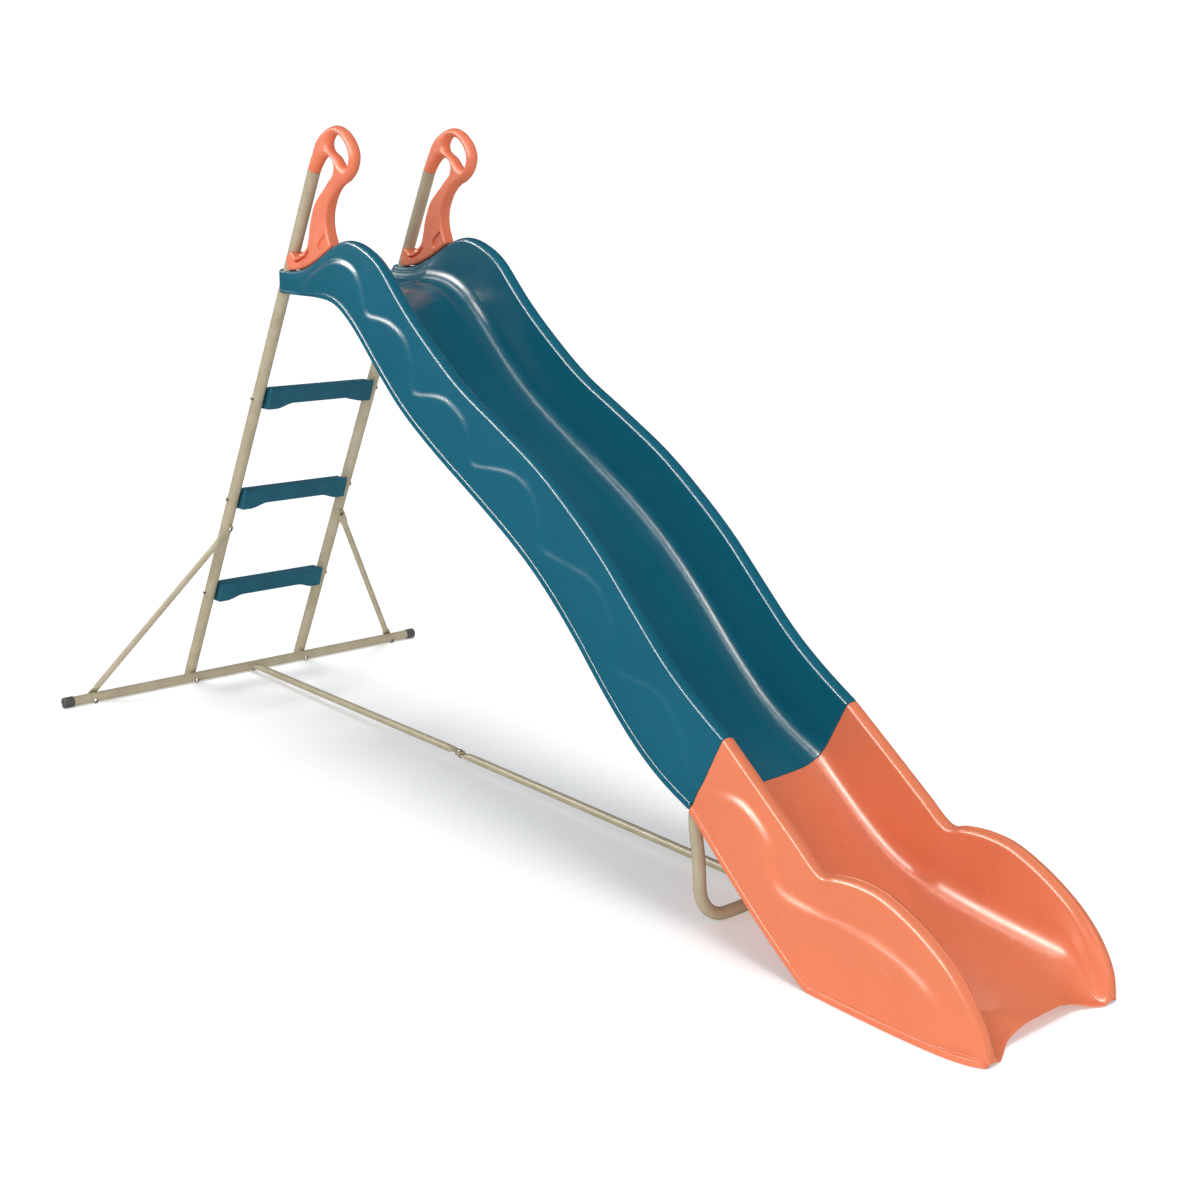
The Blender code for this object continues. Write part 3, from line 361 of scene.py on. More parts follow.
def inner_half(half, h, fillet, sag, ri, dome, yw):
    """Centre line to rim crest: (distance off centre, height over the trough floor)."""
    r = min(fillet, (h - ri) * 0.72)
    y1 = yw - r
    y = np.linspace(0, y1, N_FLOOR, endpoint=False)
    floor = np.stack([y, sag * (y / 0.09) ** 2], 1)
    v1, slope = sag * (y1 / 0.09) ** 2, math.degrees(math.atan(2 * sag * y1 / 0.0081))
    bend = arc(y1, v1 + r, r, -90 + slope, -3, N_FILLET)
    bend[:, 0] += yw - bend[-1, 0]
    shift = np.linspace(0, 1, N_FLOOR, endpoint=False) ** 2 * (bend[0, 0] - y1)
    floor[:, 0] += shift
    ledge = dome * 0.85
    corner = arc(half - 0.0165 + ri, h - ledge - ri, ri, 180, 95, N_CORNER)
    wall = np.stack([np.linspace(bend[-1, 0], corner[0, 0], N_WALL + 2)[1:-1],
                     np.linspace(bend[-1, 1], corner[0, 1], N_WALL + 2)[1:-1]], 1)
    x0 = corner[-1, 0]
    x = np.linspace(x0, half, N_DOME // 2 + 2)[1:]
    top = np.stack([x, h - (h - corner[-1, 1]) * ((half - x) / (half - x0)) ** 2], 1)
    return np.vstack([floor, bend, wall, corner, top])


def outer_half(half, out, depth, ro, dome, y_top, y_low, lip):
    """Rim crest to hem: (distance off centre, distance below the crest)."""
    k = min(1.0, depth / 0.030)
    lip, ro = lip * k, ro * k
    cx = y_top - ro
    x = np.linspace(half, cx, N_DOME // 2 + 1)[1:-1] if cx > half + 0.0005 else np.linspace(half, half + 0.0006, N_DOME // 2 + 1)[1:-1]
    top = np.stack([x, dome * 0.5 * ((x - half) / max(cx - half, 0.0007)) ** 2], 1)
    corner = arc(max(cx, half + 0.0008), -(dome * 0.5 + ro), ro, 88, 4, N_CORNER)
    corner[:, 1] *= -1
    d0, d1 = corner[-1, 1], depth - lip
    t = np.linspace(0, 1, N_SKIRT + 1)[1:]
    skirt = np.stack([corner[-1, 0] + (y_low - corner[-1, 0]) * (1 - (1 - t) ** 2), d0 + (d1 - 0.0014 * k - d0) * t], 1)
    step_in = np.array([[y_low + 0.0004, d1 - 0.0005 * k], [y_low + 0.0012, d1 - 0.0001 * k]])
    step_out = np.array([[out - 0.0013, d1], [out - 0.0004, d1 + 0.0004 * k], [out, d1 + 0.0013 * k]])
    hem = np.stack([np.full(4, out), d1 + 0.0013 * k + (depth - d1 - 0.0013 * k) * np.array([0.3, 0.6, 0.86, 1.0])], 1)
    return np.vstack([top, corner, skirt, step_in, step_out, hem])


def segment_distance(px, pz, line, closed=False):
    a = np.asarray(line, float)
    b = np.roll(a, -1, axis=0) if closed else a[1:]
    a = a if closed else a[:-1]
    best = np.full(px.shape, 1e9)
    for (ax, az), (bx, bz) in zip(a, b):
        dx, dz = bx - ax, bz - az
        t = np.clip(((px - ax) * dx + (pz - az) * dz) / max(dx * dx + dz * dz, 1e-12), 0, 1)
        best = np.minimum(best, (px - ax - t * dx) ** 2 + (pz - az - t * dz) ** 2)
    return np.sqrt(best)


def inside(px, pz, loop):
    a = np.asarray(loop, float)
    b = np.roll(a, -1, axis=0)
    hit = np.zeros(px.shape, bool)
    for (ax, az), (bx, bz) in zip(a, b):
        if az == bz:
            continue
        cross = ((az > pz) != (bz > pz)) & (px < (bx - ax) * (pz - az) / (bz - az) + ax)
        hit ^= cross
    return hit


WAVE_LINE = soften(catmull(WAVE, 900), 5.0)
WAVE_LOOP = np.vstack([WAVE_LINE, [(2.69, -1.0), (0.0, -1.0), (0.0, 1.0)]])


def wave_field(x, z, width):
    d = segment_distance(x, z, WAVE_LINE[::3])
    signed = np.where(inside(x, z, WAVE_LOOP), d, -d)
    return ease(signed / width + 0.5)


def unit(v):
    return v / np.maximum(np.linalg.norm(v, axis=-1, keepdims=True), 1e-12)


def chute_grid(rows, halves):
    """Half-width surface grid, centre line to hem, from per-row profiles; halves(row) gives (inner, outer)."""
    sheet, ups = [], []
    for row in rows:
        rim, floor, base = row[0:2], row[2:4], row[4:6]
        inner, outer = halves(row)
        h, depth = math.hypot(*(rim - floor)), math.hypot(*(rim - base))
        up = inner[:, 1:2] / h
        pin = floor + (rim - floor) * up
        down = outer[:, 1:2] / depth
        pout = rim + (base - rim) * down
        xz = np.vstack([pin, pout])
        y = np.concatenate([inner[:, 0], outer[:, 0]])
        sheet.append(np.stack([xz[:, 0], y, xz[:, 1]], 1))
        ups.append(np.concatenate([up[:, 0], np.ones(len(outer))]))
    half = np.array(sheet)
    return half, len(inner), np.array(ups)


def both_sides(half):
    other = half[:, :0:-1].copy()
    other[:, :, 1] *= -1
    return np.concatenate([other, half], 1)


def grid_normals(points):
    du = np.gradient(points, axis=0)
    dv = np.gradient(points, axis=1)
    return unit(np.cross(du, dv))


def rounded_end(points, spacing, radius, at_start, at_end):
    """Adds close rows at an end and rolls them in, so the wall edge reads as rounded."""
    extra = np.array([0.0, 0.04, 0.12, 0.25, 0.45, 0.7]) * radius / spacing
    n = len(points)
    index = np.arange(n, dtype=float)
    if at_start:
        index = np.concatenate([extra, index[int(math.ceil(radius / spacing)):]])
    if at_end:
        index = np.concatenate([index[:len(index) - int(math.ceil(radius / spacing))], (n - 1 - extra)[::-1]])
    low = np.clip(np.floor(index).astype(int), 0, n - 2)
    t = (index - low)[:, None, None]
    fine = points[low] * (1 - t) + points[low + 1] * t
    normal = grid_normals(points)
    normal = unit(normal[low] * (1 - t) + normal[low + 1] * t)
    sink = np.zeros(len(fine))
    if at_start:
        d = np.minimum(index * spacing, radius)
        sink += radius - np.sqrt(np.maximum(radius ** 2 - (radius - d) ** 2, 0))
    if at_end:
        d = np.minimum((n - 1 - index) * spacing, radius)
        sink += radius - np.sqrt(np.maximum(radius ** 2 - (radius - d) ** 2, 0))
    return fine - normal * sink[:, None, None]


def shell(obj, thickness, group=None):
    mod = obj.modifiers.new("wall", "SOLIDIFY")
    mod.thickness = thickness
    mod.offset = -1
    mod.use_even_offset = False
    if group:
        mod.vertex_group = group
        mod.thickness_vertex_group = 0.28


def plate(build, loop, centre_shift, thickness_dir):
    """Closed plate from a loop of points, its edges eased."""
    loop = np.asarray(loop, float)
    middle = loop.mean(0)
    t = np.asarray(thickness_dir, float)
    rings = []
    for k, inset in ((-0.5, 0.06), (-0.46, 0.015), (-0.38, 0.0), (0.38, 0.0), (0.46, 0.015), (0.5, 0.06)):
        rings.append(middle + (loop - middle) * (1 - inset) + t * k + centre_shift)
    rings = np.array(rings)
    build.grid(rings, wrap=True)
    build.fan(rings[0], rings[0].mean(0), flip=True)
    build.fan(rings[-1], rings[-1].mean(0))


# ------------------------------------------------------------------ upper chute
SPACING = 0.005
table, step_len = even_rows(np.array(UPPER), SPACING)
table = soften(table, 0.022 / step_len)
share = (table[:, 0] - table[0, 0]) / (table[-1, 0] - table[0, 0])
lean = ((table[:, 0] - table[:, 2]) / (table[:, 1] - table[:, 3]))
half_rim = RIM_HALF_REAR + (RIM_HALF_JOINT - RIM_HALF_REAR) * share
glide = soften(np.stack([table[:, 2] + lean * FLOOR_RISE, table[:, 3] + FLOOR_RISE], 1), 0.040 / step_len)
up_rows = np.stack([table[:, 0], table[:, 1], glide[:, 0], glide[:, 1],
                    table[:, 2], table[:, 3], half_rim, half_rim + SKIRT_OUT], 1)


def upper_halves(row):
    rim, floor, base, half, out = row[0:2], row[2:4], row[4:6], row[6], row[7]
    h, depth = math.hypot(*(rim - floor)), math.hypot(*(rim - base))
    rear = float(1 - ease((row[0] - 0.63) / 0.09))
    ri = 0.0095 if h > 0.07 else 0.0075
    inner = inner_half(half, h, 0.050, 0.004, ri, 0.0016, half - 0.0215)
    hem = float(ease((row[0] - 0.74) / 0.12))
    outer = outer_half(half, half + 0.0202 + 0.0063 * hem, depth, 0.0080, 0.0014,
                       half + 0.0128 + 0.0042 * rear, half + 0.0188, 0.0050 + 0.0065 * hem)
    return inner, outer


half_grid, n_inner, _ = chute_grid(up_rows, upper_halves)
fade_top = ease((np.arange(half_grid.shape[1]) - n_inner - N_DOME // 2 - N_CORNER) / 5.0)
fade_low = np.ones(half_grid.shape[1])
fade_low[-9:] = [1, 0.8, 0.3, 0, 0, 0, 0, 0, 0]
raised = np.zeros(half_grid.shape[:2])
raised[:, n_inner:] = wave_field(half_grid[:, n_inner:, 0], half_grid[:, n_inner:, 2], 0.011)
half_grid[:, :, 1] += 0.0042 * raised * fade_top * fade_low
sheet = both_sides(half_grid)
sheet = rounded_end(sheet, step_len, 0.0030, True, True)


def open_passages(grid, obj):
    """Opens the rim where each upright passes through and rounds the opening to the tube."""
    bm = bmesh.new()
    bm.from_mesh(obj.data)
    doomed = []
    for side in (-1, 1):
        a = upright_point(CHUTE_BOLT_S - 0.2, side) - Vector((CX, 0, 0))
        d = (upright_point(CHUTE_BOLT_S + 0.2, side) - upright_point(CHUTE_BOLT_S - 0.2, side)).normalized()
        for f in bm.faces:
            c = f.calc_center_median() - a
            if c.y * side + a.y * side < 0 or c.x + a.x > -0.66:
                continue
            if (c - d * c.dot(d)).length < UPRIGHT_R + 0.0008:
                doomed.append(f)
    bmesh.ops.delete(bm, geom=doomed, context="FACES")
    for v in bm.verts:
        if v.is_boundary and v.co.x < -0.66:
            for side in (-1, 1):
                a = upright_point(CHUTE_BOLT_S - 0.2, side) - Vector((CX, 0, 0))
                d = (upright_point(CHUTE_BOLT_S + 0.2, side) - upright_point(CHUTE_BOLT_S - 0.2, side)).normalized()
                c = v.co - a
                off = c - d * c.dot(d)
                if off.length < UPRIGHT_R + 0.005 and v.co.y * side > 0:
                    v.co += off.normalized() * (UPRIGHT_R + 0.0008 - off.length)
    bm.to_mesh(obj.data)
    bm.free()


def web_plate(build, grid_row, n_in, side, low, high, depth):
    """Rib closing a side pocket at the joint, between the trough wall and the skirt."""
    y = grid_row[:, 1]
    height = (grid_row[:, 2] - JOINT_AT.z) / JOINT_UP.z
    wall = slice(N_FLOOR + 4, n_in - N_DOME // 2)
    skirt = slice(n_in + N_DOME // 2 + 2, len(y) - 8)
    levels = np.linspace(low, high, 7) * (Vector((2.105, 0, 0.388)) - JOINT_AT).length
    yi = np.interp(levels, height[wall], y[wall]) + 0.0026
    yo = np.interp(levels, height[skirt][::-1], y[skirt][::-1]) - 0.0026
    loop = [(yy, u) for yy, u in zip(yi, levels)] + [(yy, u) for yy, u in zip(yo[::-1], levels[::-1])]
    points = [np.array(JOINT_AT) + np.array(JOINT_UP) * u + np.array((0, yy * side, 0)) for yy, u in loop]
    plate(build, points, np.array(JOINT_OUT) * depth, np.array(JOINT_OUT) * 0.004)


upper = Build()
upper.grid(sheet)
upper_obj = mesh_object("upper_chute_moulding", upper.verts[0], upper.faces, BLUE)
open_passages(sheet, upper_obj)
group = upper_obj.vertex_groups.new(name="wall")
co = np.array([v.co for v in upper_obj.data.vertices])
near = np.zeros(len(co))
for side in (-1, 1):
    a = np.array(upright_point(CHUTE_BOLT_S, side)) - (CX, 0, 0)
    d = np.array(LEAN_DIR)
    rel = co - a
    off = np.linalg.norm(rel - np.outer(rel @ d, d), axis=1)
    near = np.maximum(near, np.where(np.abs(rel @ d) < 0.12, ease((0.042 - off) / 0.016), 0))
for w in range(11):
    chosen = np.nonzero(np.round((1 - near) * 10) == w)[0]
    if len(chosen) and w:
        group.add([int(i) for i in chosen], w / 10, "REPLACE")
shell(upper_obj, 0.004, "wall")
place(upper_obj, "blue_plastic", ["upper_chute"])

ribs = Build()
for side in (-1, 1):
    web_plate(ribs, half_grid[-1], n_inner, side, 0.17, 0.80, -0.0024 - GAP)
    at = upright_point(CHUTE_BOLT_S, side) + LEAN_OUT * (UPRIGHT_R + GAP + 0.0024)
    at.y = 0.1568 * side
    loop = [np.array(at) + np.array((0, yy, 0)) + np.array(LEAN_DIR) * u
            for yy, u in ((-0.0172, -0.0130), (0.0, -0.0132), (0.0160, -0.0130), (0.0164, 0.0),
                          (0.0160, 0.0130), (0.0, 0.0132), (-0.0172, 0.0130), (-0.0174, 0.0))]
    plate(ribs, loop, np.zeros(3), np.array(LEAN_OUT) * 0.004)
rib_obj = ribs.object("upper_chute_ribs", BLUE, 40)
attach(rib_obj, BODY)

# ------------------------------------------------------------------ lower chute
table, step_len = even_rows(np.array(LOWER), 0.0042)
rim_xz = soften(table[:, 0:2], 0.0045 / step_len)
floor_xz = soften(table[:, 2:4], 0.030 / step_len)
base_xz = soften(table[:, 4:6], 0.0050 / step_len)
widths = soften(table[:, 6:8], 0.020 / step_len)
base_xz[:, 1] = np.maximum(base_xz[:, 1] - 0.0026, 0.0004)
low_rows = np.hstack([rim_xz, floor_xz, base_xz, widths])


def lower_halves(row):
    rim, floor, base, half, out = row[0:2], row[2:4], row[4:6], row[6], row[7]
    h, depth = math.hypot(*(rim - floor)), math.hypot(*(rim - base))
    ear = float(ease((row[0] - 2.33) / 0.06))
    tip = float(ease((row[0] - 2.62) / 0.08))
    k = min(1.0, (out - half) / 0.0265)
    ri = min(0.0095 + 0.0040 * ear, 0.4 * h)
    ro = (0.0080 + 0.0075 * ear) * k
    inner = inner_half(half, h, 0.052 + 0.022 * ear - 0.02 * tip, 0.004 + 0.003 * ear, ri,
                       0.0016 + 0.0014 * ear, half - 0.0215 - 0.003 * ear)
    outer = outer_half(half, out, depth, ro, 0.0014 + 0.002 * ear, half + (0.0128 + 0.0045 * ear) * k,
                       half + (out - half) * (0.71 - 0.06 * ear), 0.0115)
    return inner, outer


half_grid, n_inner, ups = chute_grid(low_rows, lower_halves)
raised = np.zeros(half_grid.shape[:2])
raised[:, n_inner:] = wave_field(half_grid[:, n_inner:, 0], half_grid[:, n_inner:, 2], 0.026)
along = np.linspace(0, 1, len(low_rows))[:, None]
amount = 0.0042 + 0.0063 * ease((half_grid[:, :, 0] - 2.06) / 0.10)
amount *= 1 - ease((half_grid[:, :, 0] - 2.58) / 0.10)
limit = np.maximum(low_rows[:, 7:8] - 0.0012 - half_grid[:, :, 1], 0)
half_grid[:, :, 1] += np.minimum(amount * raised * fade_top * fade_low, limit)
# mouth of the run-out: the floor keeps its height in the middle and falls to the ground at the feet
mouth = ease((half_grid[:, :, 0] - 2.615) / 0.075)
mouth[:, n_inner:] = 0
y = np.abs(half_grid[:, :, 1])
drop = mouth * ease((y - 0.076) / 0.052) * np.clip(1 - ups, 0, 1) ** 0.8
half_grid[:, :, 2] -= np.maximum(half_grid[:, :, 2] - 0.0032, 0) * drop * 0.8
foot = ease((low_rows[:, 0:1] - 2.655) / 0.045)
arch_z = (low_rows[:, 3:4] + (0.0042 - low_rows[:, 3:4]) * ease((y - 0.035) / 0.105)
          + (low_rows[:, 1:2] - 0.0042) * ease((y - 0.142) / 0.024))
arch_x = low_rows[:, 2:3] + (low_rows[:, 0:1] - low_rows[:, 2:3]) * ease((y - 0.085) / 0.070)
half_grid[:, :n_inner, 2] += ((arch_z - half_grid[:, :, 2]) * foot)[:, :n_inner]
half_grid[:, :n_inner, 0] += ((arch_x - half_grid[:, :, 0]) * foot)[:, :n_inner]
half_grid[:, :, 2] = np.maximum(half_grid[:, :, 2], 0.0006)
lower_sheet = both_sides(half_grid)
lower_sheet = rounded_end(lower_sheet, step_len, 0.0026, True, True)
lower_sheet[:, :, 2] = np.maximum(lower_sheet[:, :, 2], 0.0006)
lower = Build()
lower.grid(lower_sheet)
lower_obj = mesh_object("lower_chute_moulding", lower.verts[0], lower.faces, ORANGE)
shell(lower_obj, 0.0034)
place(lower_obj, "orange_plastic", ["lower_chute"])
ribs = Build()
for side in (-1, 1):
    web_plate(ribs, half_grid[0], n_inner, side, 0.17, 0.80, 0.0024 + GAP)
rib_obj = ribs.object("lower_chute_ribs", ORANGE, 40)
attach(rib_obj, BODY)


# ------------------------------------------------------------------ turned and lofted metalwork
def turned(name, start, end, profile, mat, slot, nodes, segments=56, smooth_angle=35):
    """Closed profile (radius, distance from start) turned about the axis start to end."""
    start, end = np.array(start, float), np.array(end, float)
    axis = unit(end - start)
    side = unit(np.cross(axis, (0.0, 1.0, 0.0) if abs(axis[1]) < 0.9 else (1.0, 0.0, 0.0)))
    other = np.cross(axis, side)
    a = np.linspace(0, math.tau, segments, endpoint=False)
    ring = np.outer(np.cos(a), side) + np.outer(np.sin(a), other)
    points = np.array([start + axis * d + ring * r for r, d in profile])
    build = Build()
    build.grid(points, wrap=True)
    obj = build.object(name, mat, smooth_angle, weld=1e-7)
    return place(obj, slot, nodes)


def tube_profile(radius, wall, length):
    e = 0.0004
    inner = radius - wall
    stops = list(np.linspace(e * 2, length - e * 2, 40))
    return ([(inner, 0.0004), (inner + e, 0), (radius - e, 0), (radius, e)] + [(radius, d) for d in stops]
            + [(radius, length - e), (radius - e, length), (inner + e, length), (inner, length - 0.0004)]
            + [(inner, d) for d in reversed(stops)] + [(inner, 0.0004)])


for side, tag in ((-1, "right"), (1, "left")):
    a, b = upright_point(-0.0065, side), upright_point(UPRIGHT_LEN, side)
    turned("upright_tube_" + tag, a, b, tube_profile(UPRIGHT_R, TUBE_WALL, (b - a).length), BEIGE,
           "beige_paint", ["upright_" + tag])
    a = Vector((0, CAP_HALF * side, CROSS_Z))
    b = Vector((0, (CAP_HALF - CAP_LEN) * side, CROSS_Z))
    profile = [(0.00002, 0.0), (0.006, 0.0), (CAP_R - 0.0028, 0.0001), (CAP_R - 0.0014, 0.0005), (CAP_R - 0.0005, 0.0014),
               (CAP_R, 0.0030), (CAP_R, 0.012), (CAP_R, CAP_LEN - 0.0030), (CAP_R - 0.0004, CAP_LEN - 0.0006),
               (CAP_R - 0.0008, CAP_LEN), (CROSS_R + GAP + 0.0001, CAP_LEN), (CROSS_R + GAP, CAP_LEN - 0.0006),
               (CROSS_R + GAP, 0.0040), (CROSS_R - 0.001, 0.0033), (0.00002, 0.0033)]
    turned("tube_cap_" + tag, a, b, profile, GREY, "cap_plastic", ["end_cap_" + tag])
a, b = Vector((0, -CROSS_HALF, CROSS_Z)), Vector((0, CROSS_HALF, CROSS_Z))
turned("ground_tube", a, b, tube_profile(CROSS_R, TUBE_WALL, 2 * CROSS_HALF), BEIGE, "beige_paint", ["ground_cross_tube"])


def lofted(name, stations, side_dir, mat, slot, nodes, ring=44, rounded=(True, True), carry=False):
    """Tube through stations (point, half width, half thickness); flat where the two differ."""
    pts = np.array([list(s[0]) for s in stations], float)
    wid = np.array([s[1] for s in stations])
    thk = np.array([s[2] for s in stations])
    run = np.concatenate([[0], np.cumsum(np.linalg.norm(np.diff(pts, axis=0), axis=1))])
    fine = []
    for a, b in zip(run, run[1:]):
        n = max(5, min(40, int((b - a) / 0.0035)))
        fine.extend(np.linspace(a, b, n, endpoint=False))
    fine = np.array(fine + [run[-1]])
    total = run[-1]
    ends = np.array([0.0, 0.00015, 0.0005, 0.0011, 0.0019, 0.003, 0.0045, 0.0065, 0.009])
    if rounded[0]:
        fine = np.concatenate([ends, fine[fine > ends[-1] + 0.0005]])
    if rounded[1]:
        fine = np.concatenate([fine[fine < total - ends[-1] - 0.0005], total - ends[::-1]])

    def smooth_interp(values):
        i = np.clip(np.searchsorted(run, fine, "right") - 1, 0, len(run) - 2)
        t = (fine - run[i]) / (run[i + 1] - run[i])
        t = ease(t)
        return values[i] * (1 - t) + values[i + 1] * t

    p = np.stack([np.interp(fine, run, pts[:, c]) for c in range(3)], 1)
    p = soften(p, 1.6) if carry or len(stations) > 8 else p
    w, t = smooth_interp(wid), smooth_interp(thk)
    for flag, dist, k in ((rounded[0], fine, 0), (rounded[1], total - fine, -1)):
        if flag:
            reach = 0.0105
            round_off = np.sqrt(np.clip(1 - (1 - np.clip(dist / reach, 0, 1)) ** 2, 0.0009, 1))
            full = np.maximum(w, 0.0112) if k == 0 else np.maximum(w, 0.0112)
            w = np.where(dist < reach, full * round_off, w)
            t = t * np.where(dist < 0.0012, np.sqrt(np.clip(1 - (1 - dist / 0.0012) ** 2, 0.05, 1)), 1)
    tangent = unit(np.gradient(p, axis=0))
    across = []
    last = np.array(side_dir, float)
    for k in range(len(p)):
        base_dir = last if carry else np.array(side_dir, float)
        v = base_dir - tangent[k] * (base_dir @ tangent[k])
        last = v / np.linalg.norm(v)
        across.append(last)
    across = np.array(across)
    flat = np.cross(tangent, across)
    a = np.linspace(0, math.tau, ring, endpoint=False)
    c, s = np.cos(a), np.sin(a)
    power = 0.62 + 0.38 * np.clip(1 - (np.abs(w - t) - 0.0006) / 0.004, 0, 1)
    cc = np.sign(c) * np.abs(c) ** power[:, None]
    ss = np.sign(s) * np.abs(s) ** power[:, None]
    points = p[:, None] + across[:, None] * (w[:, None] * cc)[..., None] + flat[:, None] * (t[:, None] * ss)[..., None]
    build = Build()
    build.grid(points, wrap=True)
    build.fan(points[0], p[0], flip=True)
    build.fan(points[-1], p[-1])
    obj = build.object(name, mat, 60)
    return place(obj, slot, nodes)


for side, tag in ((-1, "right"), (1, "left")):
    foot = Vector((0, BRACE_FOOT_Y * side, CROSS_Z)) - LEAN_OUT * (CROSS_R + GAP + HALF_FLAT)
    top = upright_point(BRACE_TOP_S, side) + LEAN_OUT * (UPRIGHT_R + GAP + HALF_FLAT)
    along = (top - foot).normalized()
    length = (top - foot).length
    across = along.cross(LEAN_OUT)
    steps = [(-0.011, 0.0112, HALF_FLAT), (0.010, 0.0112, HALF_FLAT),
             (0.030, BRACE_R, BRACE_R), (length - 0.056, BRACE_R, BRACE_R),
             (length - 0.028, 0.0112, HALF_FLAT), (length + 0.011, 0.0112, HALF_FLAT)]
    lofted("side_brace_" + tag, [(foot + along * d, w, t) for d, w, t in steps], across, BEIGE,
           "beige_paint", ["diagonal_brace_" + tag])

tab_x = CROSS_R + GAP + HALF_FLAT
hoop_tab_x = HOOP_X - HOOP_R - GAP - HALF_FLAT
rear = [((tab_x, 0, 0.0025), 0.0115, HALF_FLAT), ((tab_x, 0, 0.0168), 0.0115, HALF_FLAT),
        ((tab_x + 0.0018, 0, 0.0200), 0.0115, HALF_FLAT), ((tab_x + 0.0065, 0, 0.0210), 0.0115, HALF_FLAT),
        ((0.034, 0, 0.0212), 0.0115, HALF_FLAT), ((0.056, 0, 0.0208), FLOOR_R, FLOOR_R),
        ((MID_X - 0.040, 0, 0.0312), FLOOR_R, FLOOR_R), ((MID_X - 0.016, 0, 0.0325), 0.0115, HALF_FLAT),
        ((MID_X + 0.013, 0, 0.0325), 0.0115, HALF_FLAT)]
lap = 0.0325 - FLAT_T - GAP
front = [((MID_X - 0.013, 0, lap), 0.0115, HALF_FLAT), ((MID_X + 0.016, 0, lap), 0.0115, HALF_FLAT),
         ((MID_X + 0.040, 0, 0.0300), FLOOR_R, FLOOR_R), ((hoop_tab_x - 0.045, 0, 0.0345), FLOOR_R, FLOOR_R),
         ((hoop_tab_x - 0.020, 0, 0.0350), 0.0115, HALF_FLAT), ((hoop_tab_x - 0.0065, 0, 0.0347), 0.0115, HALF_FLAT),
         ((hoop_tab_x - 0.0018, 0, 0.0328), 0.0115, HALF_FLAT), ((hoop_tab_x, 0, 0.0285), 0.0115, HALF_FLAT),
         ((hoop_tab_x, 0, 0.0025), 0.0115, HALF_FLAT)]
lofted("rear_floor_brace", rear, (0, 1, 0), BEIGE, "beige_paint", ["floor_brace_rear"])
lofted("front_floor_brace", front, (0, 1, 0), BEIGE, "beige_paint", ["floor_brace_front"])

tab_depth = -(0.0044 + GAP * 2 + 0.0031)
run = [(joint_point(0.064, HOOP_Y, tab_depth), 0.0130, 0.0025), (joint_point(0.030, HOOP_Y, tab_depth), 0.0130, 0.0025),
       (Vector((2.0225, HOOP_Y, 0.2200)), HOOP_R, 0.0100), (Vector((2.0245, HOOP_Y, 0.1950)), HOOP_R, HOOP_R),
       (Vector((2.0245 + (HOOP_X - 2.0245) * 0.5, HOOP_Y, 0.1300)), HOOP_R, HOOP_R)]
lean_leg = (HOOP_X - 2.0245) / (0.195 - HOOP_R)
for k in range(13):
    angle = math.pi / 2 * k / 12
    yy = HOOP_Y - HOOP_BEND + HOOP_BEND * math.cos(angle)
    zz = HOOP_R + HOOP_BEND * (1 - math.sin(angle))
    run.append((Vector((HOOP_X - lean_leg * (zz - HOOP_R), yy, zz)), HOOP_R, HOOP_R))
run = run + [(Vector((p.x, -p.y, p.z)), w, t) for p, w, t in reversed(run)]
lofted("front_hoop", run, (0, 1, 0), BEIGE, "beige_paint", ["support_hoop"], carry=True)

